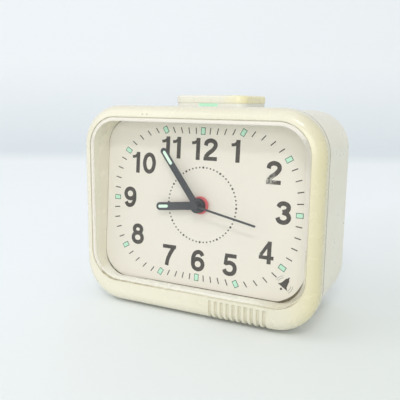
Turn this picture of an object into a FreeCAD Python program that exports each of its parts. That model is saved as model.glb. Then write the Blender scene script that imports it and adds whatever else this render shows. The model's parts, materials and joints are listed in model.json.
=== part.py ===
"""Quartz alarm clock with a rectangular moulded case.

The case is modelled lying in its own frame, x to the right, y up and z towards
the viewer, with its origin at the middle of the dial.  The dial, the movement
behind it and the hands share a second frame that leans back by dial_lean about
that same point.  Both frames are turned upright when the pieces are placed:
the finished clock stands on z = 0 with its dial towards -y.
"""
import FreeCAD, Part
import math
import os
import re

import Sketcher

Vector = FreeCAD.Vector

# name, value (mm unless the note says otherwise), what it sets
SIZES = [
    # case outline
    ("case_width", 120.0, "bezel, left to right"),
    ("case_height", 96.6, "bezel, top to bottom"),
    ("case_corner", 19.9, "outer corner radius of the bezel"),
    ("bezel_depth", 10.4, "front face to parting line"),
    ("bezel_roll", 5.8, "rolled front edge"),
    ("bezel_wall", 2.0, "skin of the bezel"),
    ("bezel_face", 3.4, "thickness of the bezel's front wall"),
    ("case_inset", 1.4, "rear case inside the bezel's outline"),
    ("case_depth", 47.2, "parting line to back"),
    ("case_wall", 2.2, "skin of the rear case"),
    ("case_roll", 5.0, "rounded back edge"),
    ("tongue_length", 3.0, "tongue of the rear case inside the bezel"),
    ("tongue_wall", 1.4, "thickness of that tongue"),
    ("joint_gap", 0.1, "fit between fixed mouldings"),
    ("floor_gap", 1.2, "underside of the bezel above the floor"),
    # dial window
    ("front_reach", 12.7, "dial centre to the bezel's front face"),
    ("dial_rise", 2.4, "dial centre above the middle of the case"),
    ("dial_lean", 4.7, "degrees, top of the dial further back"),
    ("window_width", 105.4, "tunnel from lens to dial"),
    ("window_height", 78.4, ""),
    ("window_corner", 13.6, ""),
    ("window_rise", 0.4, "middle of the window above the dial centre"),
    ("tunnel_wall", 2.0, "wall round the window"),
    ("tunnel_reach", 8.0, "window's wall behind the dial centre, before its slanted cut"),
    ("lens_side", 1.95, "lens beyond the window at each side"),
    ("lens_over", 0.8, "lens beyond the window above and below"),
    ("lens_thick", 2.0, ""),
    ("lens_sink", 0.2, "lens front behind the bezel face"),
    ("lens_edge", 0.7, "rounded front edge of the lens"),
    ("lens_gap", 0.2, "groove round the lens"),
    ("lens_rim", 1.2, "wall of the lens's rear rim"),
    ("lens_rim_depth", 2.0, "how far that rim reaches back"),
    # grip ribs in the chin
    ("rib_first", 10.9, "middle of the first groove"),
    ("rib_pitch", 2.9, ""),
    ("rib_count", 10, "number of grooves"),
    ("rib_slot", 1.3, "width of a groove"),
    ("rib_sink", 0.7, "depth of a groove"),
    ("rib_top", 41.2, "start of the grooves below the dial centre"),
    ("rib_wrap", 8.2, "grooves end this far behind the front face"),
    # case screws
    ("screw_x", 36.5, "case screws from the middle"),
    ("screw_rise", 5.1, "case screws above the underside"),
    ("boss_radius", 2.8, ""),
    ("tower_radius", 3.2, ""),
    ("screw_radius", 1.25, "thread of the case screws"),
    ("screw_grip", 6.0, "thread inside the bezel's boss"),
    ("screw_head", 2.3, "radius of the head"),
    ("screw_head_height", 1.8, ""),
    ("screw_seat", 5.8, "tower end to the head's seat"),
    ("driver_slot", 0.6, "width of the slots in the screw heads"),
    ("hole_over", 0.5, "screw holes beyond the screws' ends"),
    ("bore_gap", 0.15, "clearance round fixed shanks"),
    # feet
    ("foot_radius", 4.0, ""),
    ("foot_sink", 0.8, "feet let into the underside"),
    ("foot_x", 33.0, ""),
    ("foot_front", 6.8, "front feet behind the parting line"),
    ("foot_back", 6.4, "back feet in front of the case's back"),
    # alarm button
    ("button_width", 36.5, ""),
    ("button_depth", 31.0, ""),
    ("button_corner", 5.0, ""),
    ("button_behind", 21.0, "middle of the button behind the dial centre"),
    ("button_proud", 2.8, "underside of the cap above the case's top"),
    ("cap_thick", 4.0, ""),
    ("cap_edge", 1.3, "rounded upper edge of the cap"),
    ("stem_inset", 0.3, "stem inside the cap's outline"),
    ("stem_length", 11.0, ""),
    ("stem_wall", 1.6, ""),
    ("slide_gap", 0.3, "running gap round the stem"),
    ("flange_reach", 1.8, "stop flange beyond the stem"),
    ("flange_thick", 1.4, ""),
    ("flag_width", 9.6, "green flag on the stem's front"),
    ("flag_height", 2.3, ""),
    ("flag_thick", 0.8, ""),
    ("chassis_side", 6.0, "bracket beyond the button at each side"),
    ("chassis_depth", 24.0, ""),
    ("chassis_wall", 1.6, ""),
    ("chassis_height", 14.6, ""),
    ("spring_strip", 0.4, "thickness of the button spring"),
    ("spring_width", 7.0, ""),
    ("spring_side", 4.0, "spring's ends inside the button's sides"),
    ("spring_foot", 2.5, "flat ends of the spring"),
    ("spring_crest", 2.0, "half of the spring's flat top"),
    # alarm switch under the button's stem
    ("switch_behind", 8.0, "switch behind the middle of the button"),
    ("switch_width", 3.0, ""),
    ("switch_strip", 0.3, "thickness of its two leaves"),
    ("switch_lift", 4.2, "tip of the upper leaf above the bracket's floor"),
    ("switch_tip", 1.2, "half of the upper leaf's flat tip"),
    ("switch_slope", 5.0, "sloping part of the upper leaf"),
    ("switch_foot", 3.0, "foot of each leaf"),
    ("contact_lift", 2.4, "top of the lower leaf above the floor"),
    # dial
    ("face_thick", 0.3, "printed sheet"),
    ("face_margin", 1.5, "sheet beyond the window"),
    ("carrier_thick", 1.8, "moulded plate behind the sheet"),
    ("carrier_margin", 1.9, "plate beyond the window"),
    ("dial_bore", 2.6, "radius of the hole for the hands"),
    ("clamp_width", 2.4, "clamping ribs on the case's side walls"),
    ("clamp_grip", 4.3, "ribs over the dial plate's edge"),
    ("clamp_root", 0.3, "ribs let into the side walls"),
    ("clamp_length", 14.0, "ribs from front to back"),
    ("clamp_rise", 20.0, "ribs above and below the dial centre"),
    # back: knob well, battery bay and sound slots
    ("well_width", 30.0, ""),
    ("well_height", 35.5, ""),
    ("well_depth", 10.5, ""),
    ("well_corner", 6.0, ""),
    ("well_x", 7.2, ""),
    ("well_drop", 5.45, "middle of the well below the dial centre"),
    ("well_wall", 2.0, ""),
    ("knob_hole", 4.0, "radius of the holes in the well's floor"),
    ("bay_side", 3.9, "room for the contacts at each end of the cell"),
    ("bay_over", 0.4, "room above and below the cell"),
    ("bay_front", 0.9, "room in front of the cell"),
    ("bay_drop", 34.7, ""),
    ("bay_wall", 1.8, ""),
    ("door_margin", 1.8, "door beyond the bay"),
    ("door_thick", 1.8, ""),
    ("door_corner", 2.5, ""),
    ("door_gap", 0.25, ""),
    ("grip_length", 14.0, "grooves to pull the door by"),
    ("grip_width", 1.2, ""),
    ("grip_pitch", 2.5, ""),
    ("grip_count", 3, "number of grooves"),
    ("grip_drop", 5.0, "lowest groove below the door's middle"),
    ("grip_sink", 0.6, ""),
    ("cell_radius", 7.1, ""),
    ("cell_length", 49.2, "body of the cell"),
    ("cell_cap_radius", 2.7, ""),
    ("cell_cap", 1.3, ""),
    ("contact_thick", 0.4, "sheet of the battery contacts"),
    ("contact_width", 9.0, ""),
    ("contact_height", 8.0, "positive contact"),
    ("contact_tab", 1.0, "tab that holds it"),
    ("strip_half", 5.0, "half of the negative contact's length"),
    ("strip_height", 6.0, ""),
    ("strip_foot", 0.4, "start of its bow below the middle"),
    ("strip_tip", 1.0, "lower edge of the bow's tip"),
    ("strip_fall", 2.0, "bow's upper end above the tip"),
    ("sounder_x", 33.0, "sounder left of the dial centre"),
    ("sounder_rise", 17.0, ""),
    ("sounder_radius", 13.5, ""),
    ("sounder_thick", 5.0, ""),
    ("sounder_wall", 1.3, ""),
    ("sounder_hold", 1.0, "capsule's end beyond its ring"),
    ("terminal_radius", 0.6, ""),
    ("terminal_x", 3.0, "terminals from the capsule's middle"),
    ("terminal_length", 2.0, ""),
    ("slot_count", 6, "sound slots"),
    ("slot_pitch", 3.6, ""),
    ("slot_width", 1.6, ""),
    ("slot_round", 0.79, "corner radius of a slot's ends"),
    ("slot_length", 18.0, ""),
    # movement
    ("plate_thick", 1.5, "front plate of the movement"),
    ("movement_left", 31.0, "box left of the hands' axis"),
    ("movement_right", 21.5, ""),
    ("movement_top", 25.5, ""),
    ("movement_bottom", 28.0, ""),
    ("movement_depth", 19.7, "front plate's front to the box's back"),
    ("movement_corner", 3.0, ""),
    ("box_wall", 1.5, ""),
    ("bush_proud", 0.4, "bush in front of the dial's face"),
    ("post_radius", 0.8, "post that the minute wheel turns on"),
    ("corner_post", 2.2, "radius"),
    ("corner_inset", 1.6, "corner posts inside the box's walls"),
    ("small_screw", 0.8, "radius of the movement screws"),
    ("small_head", 1.7, "radius"),
    ("small_head_height", 1.2, ""),
    ("running_gap", 0.06, "radial clearance of arbors and tubes"),
    ("side_gap", 0.3, "end clearance of wheels"),
    ("wheel_thick", 0.8, "train wheels"),
    ("dial_wheel_thick", 1.0, "wheels of the motion work"),
    # leaf that lifts the hour wheel and closes the alarm's contact
    ("alarm_leaf_way", 130.0, "degrees, from the hands' axis to its post"),
    ("alarm_leaf_reach", 12.0, "axis to post"),
    ("alarm_leaf_width", 5.0, ""),
    ("alarm_leaf_end", 2.6, "ends beyond the axis and the post"),
    ("alarm_leaf_thick", 0.2, ""),
    ("alarm_leaf_gap", 0.1, "behind the hour wheel"),
    ("alarm_leaf_hole", 1.6, "radius of the hole round the hands' tubes"),
    ("leaf_post", 1.2, "radius"),
    ("leaf_pin", 0.5, "radius"),
    # tooth shapes (modules)
    ("going_module", 0.4, ""),
    ("third_module", 0.318, ""),
    ("motion_module", 0.55, ""),
    ("alarm_module", 0.5, ""),
    ("tooth_share", 0.37, "tooth thickness as a share of the pitch"),
    ("tooth_flank", 12.0, "degrees"),
    ("addendum", 0.75, "modules"),
    ("dedendum", 1.0, "modules"),
    # tooth counts
    ("leaves", 8, "leaves of the train pinions"),
    ("intermediate_teeth", 40, ""),
    ("seconds_teeth", 48, ""),
    ("third_teeth", 60, ""),
    ("centre_teeth", 64, ""),
    ("cannon_leaves", 10, ""),
    ("minute_teeth", 30, ""),
    ("hour_teeth", 32, ""),
    ("alarm_teeth", 30, ""),
    ("alarm_set_teeth", 15, ""),
    ("time_set_teeth", 12, ""),
    # directions of the arbors from the one they mesh with, degrees
    ("third_way", 180.0, ""),
    ("intermediate_way", 245.0, ""),
    ("rotor_way", 200.0, ""),
    ("minute_way", -10.0, ""),
    ("alarm_set_way", 50.0, ""),
    ("time_set_way", 251.8, ""),
    # coaxial stack at the centre
    ("arbor_radius", 0.5, "arbor of the second hand"),
    ("tube_wall", 0.44, "walls of the three tubes"),
    ("pivot_radius", 0.4, ""),
    ("pivot_sink", 0.9, "pivots in the box's back"),
    ("pivot_play", 0.1, "pivot holes beyond the pivots' ends"),
    ("leaf_over", 0.3, "train pinions past the wheel they drive"),
    ("rotor_leaves", 1.4, "length of the rotor's pinion"),
    ("cannon_over", 0.2, "motion work pinions past their wheels"),
    ("cannon_length", 1.5, "length of the cannon pinion's leaves"),
    # levels, measured back from the dial's face
    ("alarm_level", 3.9, ""),
    ("hour_level", 5.5, ""),
    ("minute_level", 7.3, ""),
    ("centre_level", 9.6, ""),
    ("third_level", 11.4, ""),
    ("seconds_level", 13.3, ""),
    ("intermediate_level", 15.1, ""),
    ("stator_level", 17.2, ""),
    # hands, heights in front of the dial's face
    ("alarm_hand_height", 1.2, ""),
    ("hour_hand_height", 3.0, ""),
    ("minute_hand_height", 4.9, ""),
    ("second_hand_height", 6.7, ""),
    ("blade_thick", 0.5, ""),
    ("hub_thick", 1.1, ""),
    ("hub_share", 0.75, "raised middle as a share of the hub"),
    ("alarm_hub", 4.2, "radius"),
    ("hour_hub", 3.5, "radius"),
    ("minute_hub", 3.4, "radius"),
    ("second_hub", 2.1, "radius"),
    ("alarm_hand_length", 14.0, ""),
    ("hour_hand_length", 22.7, ""),
    ("minute_hand_length", 32.3, ""),
    ("second_hand_length", 30.6, ""),
    ("alarm_hand_width", 1.0, ""),
    ("hour_hand_width", 3.8, ""),
    ("minute_hand_width", 3.1, ""),
    ("second_hand_width", 0.9, ""),
    ("hour_lume_from", 16.3, ""),
    ("hour_lume_to", 21.6, ""),
    ("minute_lume_from", 23.2, ""),
    ("minute_lume_to", 30.8, ""),
    ("lume_width", 1.5, ""),
    ("alarm_hand_clock", 264.0, "degrees clockwise from twelve"),
    ("hour_hand_clock", 264.0, ""),
    ("minute_hand_clock", 322.5, ""),
    ("second_hand_clock", 101.5, ""),
    # setting knobs
    ("set_arbor", 1.0, "radius inside the movement"),
    ("set_stub", 1.5, "radius where the knob sits"),
    ("knob_hub", 3.0, "radius"),
    ("knob_sink", 1.7, "knob's end inside the case's back"),
    ("knob_floor", 1.5, "end of the knob behind its arbor"),
    ("knob_head", 6.0, "thickness of the head"),
    ("knob_radius", 6.0, ""),
    ("knob_grip", 7.0, "hub in front of the head"),
    ("knob_flutes", 12, ""),
    ("flute_radius", 0.6, ""),
    ("flute_out", 0.2, "middles of the flutes outside the knob"),
    # electrical pieces
    ("stator_thick", 1.0, ""),
    ("stator_hole", 3.0, "radius"),
    ("stator_ring", 5.0, "radius"),
    ("magnet_radius", 2.5, ""),
    ("magnet_length", 2.2, ""),
    ("coil_x", 23.0, "coil left of the hands' axis"),
    ("coil_span", 21.0, "between the middles of the stator's legs"),
    ("coil_radius", 3.5, ""),
    ("core_width", 3.0, ""),
    ("core_thick", 2.0, ""),
    ("bobbin_radius", 2.2, "tube under the winding"),
    ("cheek_thick", 1.0, ""),
    ("cheek_radius", 3.9, ""),
    ("stator_leg", 4.0, "width"),
    ("stator_neck", 3.5, "necks of the legs from the middle of the rotor"),
    ("board_width", 23.0, ""),
    ("board_height", 11.0, ""),
    ("board_thick", 1.2, ""),
    ("board_x", 13.5, "middle of the board left of the axis"),
    ("board_rise", 17.6, ""),
    ("board_level", 12.0, ""),
    ("board_post", 1.2, "radius of the board's two posts"),
    ("board_inset", 2.0, "posts inside the board's ends"),
    ("crystal_x", 21.17, "crystal left of the axis"),
    ("crystal_radius", 1.0, ""),
    ("crystal_length", 6.0, ""),
    ("chip_radius", 3.2, ""),
    ("chip_height", 1.2, ""),
    ("chip_round", 0.84, "rounded upper edge of the chip's cover"),
]


def make_sheet(doc):
    """Write every driving size into the sheet as plain text with an alias."""
    sheet = doc.addObject("Spreadsheet::Sheet", "Sizes")
    for row, (alias, value, note) in enumerate(SIZES, start=1):
        sheet.set(f"A{row}", alias.replace("_", " "))
        sheet.set(f"B{row}", str(value))
        sheet.setAlias(f"B{row}", alias)
        if note:
            sheet.set(f"C{row}", note)
    doc.recompute()
    return sheet


DOC = FreeCAD.newDocument("alarm_clock")
SHEET = make_sheet(DOC)


def bind(text):
    """Turn 'case_width / 2' into an expression on the sheet."""
    return re.sub(r"\b([a-z][a-z_]*)\b(?!\()", r"Sizes.\1", text)


def size(text):
    """Value of a formula written with the sheet's aliases."""
    return float(SHEET.evalExpression(bind(text)))


# Levels and places that several pieces share, as formulas on the sheet.
PART_LINE = "(front_reach - bezel_depth)"
BACK = "(front_reach - bezel_depth - case_depth)"
CASE_BOTTOM = "(0 - dial_rise - case_height / 2 + case_inset)"
CASE_TOP = "(case_height / 2 - dial_rise - case_inset)"
SCREW_Y = f"({CASE_BOTTOM} + screw_rise)"
FRONT_FEET = f"({PART_LINE} - foot_front)"
BACK_FEET = f"({BACK} + foot_back)"
BUTTON_UP = f"({CASE_TOP} + button_proud)"
CHASSIS_WIDTH = "(button_width + 2 * chassis_side)"
SPRING_SPAN = "(button_width - 2 * spring_side)"
LENS = ("(window_width + 2 * lens_side)", "(window_height + 2 * lens_over)", "(window_corner + lens_over)")
CELL_LEVEL = f"({BACK} + door_thick + 2 * door_gap + cell_radius)"
BAY_WIDTH = "(cell_length + 2 * bay_side)"
BAY_HEIGHT = "(2 * cell_radius + 2 * bay_over)"
BAY_DEPTH = "(door_thick + 2 * door_gap + 2 * cell_radius + bay_front)"
DIAL_BACK = "(face_thick + carrier_thick)"
PLATE_BACK = "(face_thick + carrier_thick + plate_thick)"
BOX_BACK = "(face_thick + carrier_thick + movement_depth)"
KNOB_FRONT = f"(0 - {BACK} - knob_sink - knob_head)"
BRACKET_FLOOR = f"({CASE_TOP} - case_wall - chassis_height + chassis_wall)"
STEM_WALL = "(button_width / 2 - stem_inset - stem_wall / 2)"
LEAF_FRONT = "(hour_level + dial_wheel_thick + alarm_leaf_gap)"
TRAIN_REACH = "going_module * (leaves + seconds_teeth) / 2"
THIRD_REACH = "third_module * (leaves + third_teeth) / 2"
CENTRE_MODULE = f"(2 * {THIRD_REACH} / (leaves + centre_teeth))"
HOUR_MODULE = "(motion_module * (cannon_leaves + minute_teeth) / (leaves + hour_teeth))"

# Radii of the coaxial stack, from the second hand's arbor outwards.
CANNON_TUBE = "(arbor_radius + running_gap + tube_wall)"
HOUR_BORE = "(arbor_radius + 2 * running_gap + tube_wall)"
HOUR_TUBE = "(arbor_radius + 2 * running_gap + 2 * tube_wall)"
ALARM_BORE = "(arbor_radius + 3 * running_gap + 2 * tube_wall)"
ALARM_TUBE = "(arbor_radius + 3 * running_gap + 3 * tube_wall)"

# Sketches and cuts that only have to clear the piece run this far past it.
PAST = "1"

# A cut that takes less than this, in cubic mm, has missed its piece.
LEAST_CUT = 1e-6


def polar(reach, way, start=("0", "0")):
    """Formulas for the point at a distance and direction from another."""
    return (f"({start[0]} + {reach} * cos({way}))", f"({start[1]} + {reach} * sin({way}))")


CENTRE = ("0", "0")
THIRD = polar(f"({THIRD_REACH})", "third_way")
INTERMEDIATE = polar(f"({TRAIN_REACH})", "intermediate_way")
ROTOR = polar("(going_module * (leaves + intermediate_teeth) / 2)", "rotor_way", INTERMEDIATE)
MINUTE = polar("(motion_module * (cannon_leaves + minute_teeth) / 2)", "minute_way")
TIME_SET = polar("(motion_module * (minute_teeth + time_set_teeth) / 2)", "time_set_way", MINUTE)
ALARM_SET = polar("(alarm_module * (alarm_teeth + alarm_set_teeth) / 2)", "alarm_set_way")
LEAF_POST = polar("alarm_leaf_reach", "alarm_leaf_way")


def case_frame():
    """Lying case frame turned upright: z towards the viewer becomes -y."""
    depth = size("bezel_depth + case_depth")
    forward = size("front_reach") - depth / 2
    height = size("floor_gap + case_height / 2 + dial_rise")
    turn = FreeCAD.Rotation(Vector(1, 0, 0), 90)
    return FreeCAD.Placement(Vector(0, forward, height), turn)


def dial_frame():
    """The dial's frame, leaning back about the dial's centre."""
    upright = case_frame()
    turn = FreeCAD.Rotation(Vector(1, 0, 0), 90 - size("dial_lean"))
    return FreeCAD.Placement(upright.Base, turn)


def button_frame():
    """Frame with z up at the middle of the cap's underside."""
    at = case_frame().multVec(Vector(0, size(BUTTON_UP), -size("button_behind")))
    return FreeCAD.Placement(at, FreeCAD.Rotation())


class Outline:
    """A sketch of one body, with its constraints bound to the sheet."""

    def __init__(self, body, name, plane, offset):
        self.sketch = body.newObject("Sketcher::SketchObject", name)
        origin = next(f for f in body.Origin.OriginFeatures if f.Role == plane)
        self.sketch.AttachmentSupport = (origin, "")
        self.sketch.MapMode = "FlatFace"
        self.sketch.setExpression("AttachmentOffset.Base.z", bind(offset))

    def _bound(self, kind, element, point, formula):
        value = size(formula)
        if kind == "Radius":
            constraint = Sketcher.Constraint(kind, element, value)
        else:
            constraint = Sketcher.Constraint(kind, -1, 1, element, point, value)
        index = self.sketch.addConstraint(constraint)
        self.sketch.setExpression(f"Constraints[{index}]", bind(formula))

    def circle(self, radius, x="0", y="0"):
        centre = Vector(size(x), size(y), 0)
        element = self.sketch.addGeometry(Part.Circle(centre, Vector(0, 0, 1), size(radius)), False)
        self._bound("Radius", element, 0, radius)
        self._bound("DistanceX", element, 3, x)
        self._bound("DistanceY", element, 3, y)
        return self

    def rounded(self, width, height, corner, x="0", y="0"):
        """Rectangle with equal round corners about the point x, y."""
        half_w, half_h, r = size(width) / 2, size(height) / 2, size(corner)
        cx, cy = size(x), size(y)
        west, east, south, north = cx - half_w, cx + half_w, cy - half_h, cy + half_h

        def line(x_a, y_a, x_b, y_b):
            return Part.LineSegment(Vector(x_a, y_a, 0), Vector(x_b, y_b, 0))

        def arc(x_c, y_c, start):
            ring = Part.Circle(Vector(x_c, y_c, 0), Vector(0, 0, 1), r)
            return Part.ArcOfCircle(ring, math.radians(start), math.radians(start + 90))

        first = self.sketch.GeometryCount
        self.sketch.addGeometry([
            line(west + r, south, east - r, south), arc(east - r, south + r, 270),
            line(east, south + r, east, north - r), arc(east - r, north - r, 0),
            line(east - r, north, west + r, north), arc(west + r, north - r, 90),
            line(west, north - r, west, south + r), arc(west + r, south + r, 180)], False)
        rules = [Sketcher.Constraint("Tangent", first + i, 2, first + (i + 1) % 8, 1) for i in range(8)]
        rules += [Sketcher.Constraint("Horizontal", first + i) for i in (0, 4)]
        rules += [Sketcher.Constraint("Vertical", first + i) for i in (2, 6)]
        rules += [Sketcher.Constraint("Equal", first + 1, first + i) for i in (3, 5, 7)]
        self.sketch.addConstraint(rules)
        self._bound("Radius", first + 1, 0, corner)
        self._bound("DistanceX", first + 2, 1, f"({x}) + ({width}) / 2")
        self._bound("DistanceX", first + 6, 1, f"({x}) - ({width}) / 2")
        self._bound("DistanceY", first, 1, f"({y}) - ({height}) / 2")
        self._bound("DistanceY", first + 4, 1, f"({y}) + ({height}) / 2")
        return self

    def rectangle(self, width, height, x="0", y="0"):
        """Sharp rectangle about the point x, y."""
        corners = [(f"({x}) + {i} * ({width}) / 2", f"({y}) + {j} * ({height}) / 2")
                   for i, j in ((-1, -1), (1, -1), (1, 1), (-1, 1))]
        return self.polygon(corners)

    def polygon(self, corners):
        """Closed run of straight lines through corners given as formulas."""
        spots = [Vector(size(x), size(y), 0) for x, y in corners]
        first = self.sketch.GeometryCount
        count = len(spots)
        self.sketch.addGeometry(
            [Part.LineSegment(spots[i], spots[(i + 1) % count]) for i in range(count)], False)
        self.sketch.addConstraint([
            Sketcher.Constraint("Coincident", first + i, 2, first + (i + 1) % count, 1)
            for i in range(count)])
        for i, (x, y) in enumerate(corners):
            self._bound("DistanceX", first + i, 1, x)
            self._bound("DistanceY", first + i, 1, y)
        return self

    def curve(self, edges):
        """Closed run of ready-made edges, such as a blade with a round tip."""
        self.sketch.addGeometry(edges, False)
        return self

    def teeth(self, module, count, phase, x="0", y="0"):
        """Outline of a toothed wheel, one tooth centred on the phase angle."""
        points = tooth_points(size(module), round(size(count)), phase)
        shift = Vector(size(x), size(y), 0)
        spots = [point + shift for point in points]
        edges = [Part.LineSegment(spots[i - 1], spots[i]) for i in range(len(spots))]
        self.sketch.addGeometry(edges, False)
        return self


def tooth_points(module, count, phase):
    """Corners of straight-flanked teeth about the origin, phase in degrees."""
    pitch_radius = module * count / 2
    half = math.pi * module * size("tooth_share") / 2
    slope = math.tan(math.radians(size("tooth_flank")))
    tip, root = module * size("addendum"), module * size("dedendum")
    profile = [(pitch_radius - root, -half - root * slope), (pitch_radius + tip, tip * slope - half),
               (pitch_radius + tip, half - tip * slope), (pitch_radius - root, half + root * slope)]
    points = []
    for index in range(count):
        turn = math.radians(phase + 360.0 * index / count)
        for along, across in profile:
            points.append(Vector(along * math.cos(turn) - across * math.sin(turn),
                                 along * math.sin(turn) + across * math.cos(turn), 0))
    return points


def meshing_phase(driver, driver_count, driver_phase, follower, follower_count):
    """Phase that puts a gap of the follower over the driver's tooth."""
    dx = size(follower[0]) - size(driver[0])
    dy = size(follower[1]) - size(driver[1])
    way = math.degrees(math.atan2(dy, dx))
    lead = (driver_phase - way) * size(driver_count) / size(follower_count)
    return way + 180.0 - lead + 180.0 / size(follower_count)


class Piece:
    """One sub-part: a body whose features follow the sheet."""

    made = []

    def __init__(self, label, placement):
        self.body = DOC.addObject("PartDesign::Body", label)
        self.body.Label = label
        self.body.Placement = placement
        self.count = 0
        Piece.made.append(self.body)

    def outline(self, offset="0", plane="XY_Plane"):
        self.count += 1
        return Outline(self.body, f"{self.body.Name}_sketch_{self.count}", plane, offset)

    def _feature(self, kind, sketch, length, both=False, reverse=False):
        self.count += 1
        feature = self.body.newObject(f"PartDesign::{kind}", f"{self.body.Name}_{kind}_{self.count}")
        feature.Profile = sketch
        feature.setExpression("Length", bind(length))
        feature.Reversed = reverse
        if both:
            feature.Midplane = True
        sketch.Visibility = False
        return feature

    def pad(self, outline, length, both=False, reverse=False):
        """Raise an outline along its plane's normal."""
        feature = self._feature("Pad", outline.sketch, length, both, reverse)
        DOC.recompute()
        return feature

    def cut(self, outline, depth, both=False, reverse=False):
        """Cut an outline against its plane's normal, and check that it cut."""
        before = self.body.Shape.Volume
        feature = self._feature("Pocket", outline.sketch, depth, both, reverse)
        DOC.recompute()
        if before - self.body.Shape.Volume < LEAST_CUT:
            raise RuntimeError(f"{feature.Name} removes nothing")
        return feature

    def round_edges(self, radius, chosen):
        """Fillet the edges that the test picks."""
        tip = self.body.Tip
        names = [f"Edge{i}" for i, edge in enumerate(tip.Shape.Edges, start=1) if chosen(edge)]
        self.count += 1
        feature = self.body.newObject("PartDesign::Fillet", f"{self.body.Name}_Fillet_{self.count}")
        feature.Base = (tip, names)
        feature.setExpression("Radius", bind(radius))
        DOC.recompute()
        return feature

    def repeat_round(self, feature, number):
        """Polar pattern of a feature about the body's z axis."""
        pattern = self.body.newObject("PartDesign::PolarPattern", f"{feature.Name}_round")
        axis = next(f for f in self.body.Origin.OriginFeatures if f.Role == "Z_Axis")
        pattern.Originals = [feature]
        pattern.Axis = (axis, [""])
        pattern.Angle = 360
        pattern.setExpression("Occurrences", bind(number))
        self.body.Tip = pattern
        DOC.recompute()

    def repeat_along(self, feature, role, length, number):
        """Linear pattern of a feature along one of the body's axes."""
        pattern = self.body.newObject("PartDesign::LinearPattern", f"{feature.Name}_row")
        axis = next(f for f in self.body.Origin.OriginFeatures if f.Role == role)
        pattern.Originals = [feature]
        pattern.Direction = (axis, [""])
        pattern.setExpression("Length", bind(length))
        pattern.setExpression("Occurrences", bind(number))
        self.body.Tip = pattern
        DOC.recompute()


def flat_edge_at(level, tolerance=1e-4):
    """Test for an edge that lies in the plane z = level."""
    def test(edge):
        box = edge.BoundBox
        return abs(box.ZMin - level) < tolerance and abs(box.ZMax - level) < tolerance
    return test


# ------------------------------------------------------------------ the case

def make_front_bezel():
    """Bezel: rolled frame, lens seat, tunnel to the dial, bosses and grip ribs."""
    piece = Piece("front_bezel", case_frame())
    face_back = "(front_reach - bezel_face)"
    tunnel = piece.outline("0 - tunnel_reach")
    tunnel.rounded("window_width + 2 * tunnel_wall", "window_height + 2 * tunnel_wall",
                   "window_corner + tunnel_wall", "0", "window_rise")
    tunnel.rounded("window_width", "window_height", "window_corner", "0", "window_rise")
    piece.pad(tunnel, f"tunnel_reach + {face_back}")
    # the tunnel's back edge follows the leaning dial
    lean = "tan(dial_lean)"
    trim = piece.outline("0", "YZ_Plane")
    trim.polygon([("0 - case_height", f"case_height * {lean}"), ("case_height", f"0 - case_height * {lean}"),
                  ("case_height", "0 - case_depth"), ("0 - case_height", "0 - case_depth")])
    piece.cut(trim, "2 * case_width", both=True)
    face = piece.outline(face_back)
    face.rounded("case_width", "case_height", "case_corner", "0", "0 - dial_rise")
    face.rounded("window_width", "window_height", "window_corner", "0", "window_rise")
    piece.pad(face, "bezel_face")
    skin = piece.outline(PART_LINE)
    skin.rounded("case_width", "case_height", "case_corner", "0", "0 - dial_rise")
    skin.rounded("case_width - 2 * bezel_wall", "case_height - 2 * bezel_wall",
                 "case_corner - bezel_wall", "0", "0 - dial_rise")
    piece.pad(skin, "bezel_depth - bezel_face")
    bosses = piece.outline(PART_LINE)
    for side in ("", "0 - "):
        bosses.circle("boss_radius", f"{side}screw_x", SCREW_Y)
    piece.pad(bosses, "bezel_depth - bezel_face")
    front = flat_edge_at(size("front_reach"))
    reach_x, reach_y = size("window_width / 2"), size("window_height / 2")
    rise = size("window_rise")

    def outer(edge):
        middle = edge.CenterOfMass
        return front(edge) and max(abs(middle.x) - reach_x, abs(middle.y - rise) - reach_y) > size(PAST)

    piece.round_edges("bezel_roll", outer)
    seat = piece.outline("front_reach")
    width, height, corner = LENS
    seat.rounded(f"{width} + 2 * lens_gap", f"{height} + 2 * lens_gap", f"{corner} + lens_gap",
                 "0", "window_rise")
    piece.cut(seat, "lens_sink + lens_thick")
    holes = piece.outline(f"{PART_LINE} + screw_grip + hole_over")
    for side in ("", "0 - "):
        holes.circle("screw_radius + joint_gap / 2", f"{side}screw_x", SCREW_Y)
    piece.cut(holes, f"screw_grip + hole_over + {PAST}")
    cut_grip_ribs(piece)


def cut_grip_ribs(piece):
    """Grooves in the chin that run down its face and round the rolled edge."""
    bottom = size("0 - dial_rise - case_height / 2")
    front, roll, sink = size("front_reach"), size("bezel_roll"), size("rib_sink")
    top, wrap = -size("rib_top"), front - size("rib_wrap")
    outside = size(PAST)
    centre = Vector(bottom + roll, front - roll, 0)
    inner = roll - sink
    start = Vector(bottom + roll, front - sink, 0)
    middle = centre + Vector(-inner, inner, 0) * math.sqrt(0.5)
    end = Vector(bottom + sink, front - roll, 0)
    corners = [end, Vector(bottom + sink, wrap, 0), Vector(bottom - outside, wrap, 0),
               Vector(bottom - outside, front + outside, 0), Vector(top, front + outside, 0),
               Vector(top, front - sink, 0), start]
    edges = [Part.LineSegment(corners[i], corners[i + 1]) for i in range(len(corners) - 1)]
    edges.append(Part.Arc(start, middle, end))
    groove = piece.outline("rib_first", "YZ_Plane")
    groove.curve(edges)
    feature = piece.cut(groove, "rib_slot", both=True)
    piece.repeat_along(feature, "X_Axis", "rib_pitch * (rib_count - 1)", "rib_count")


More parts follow.
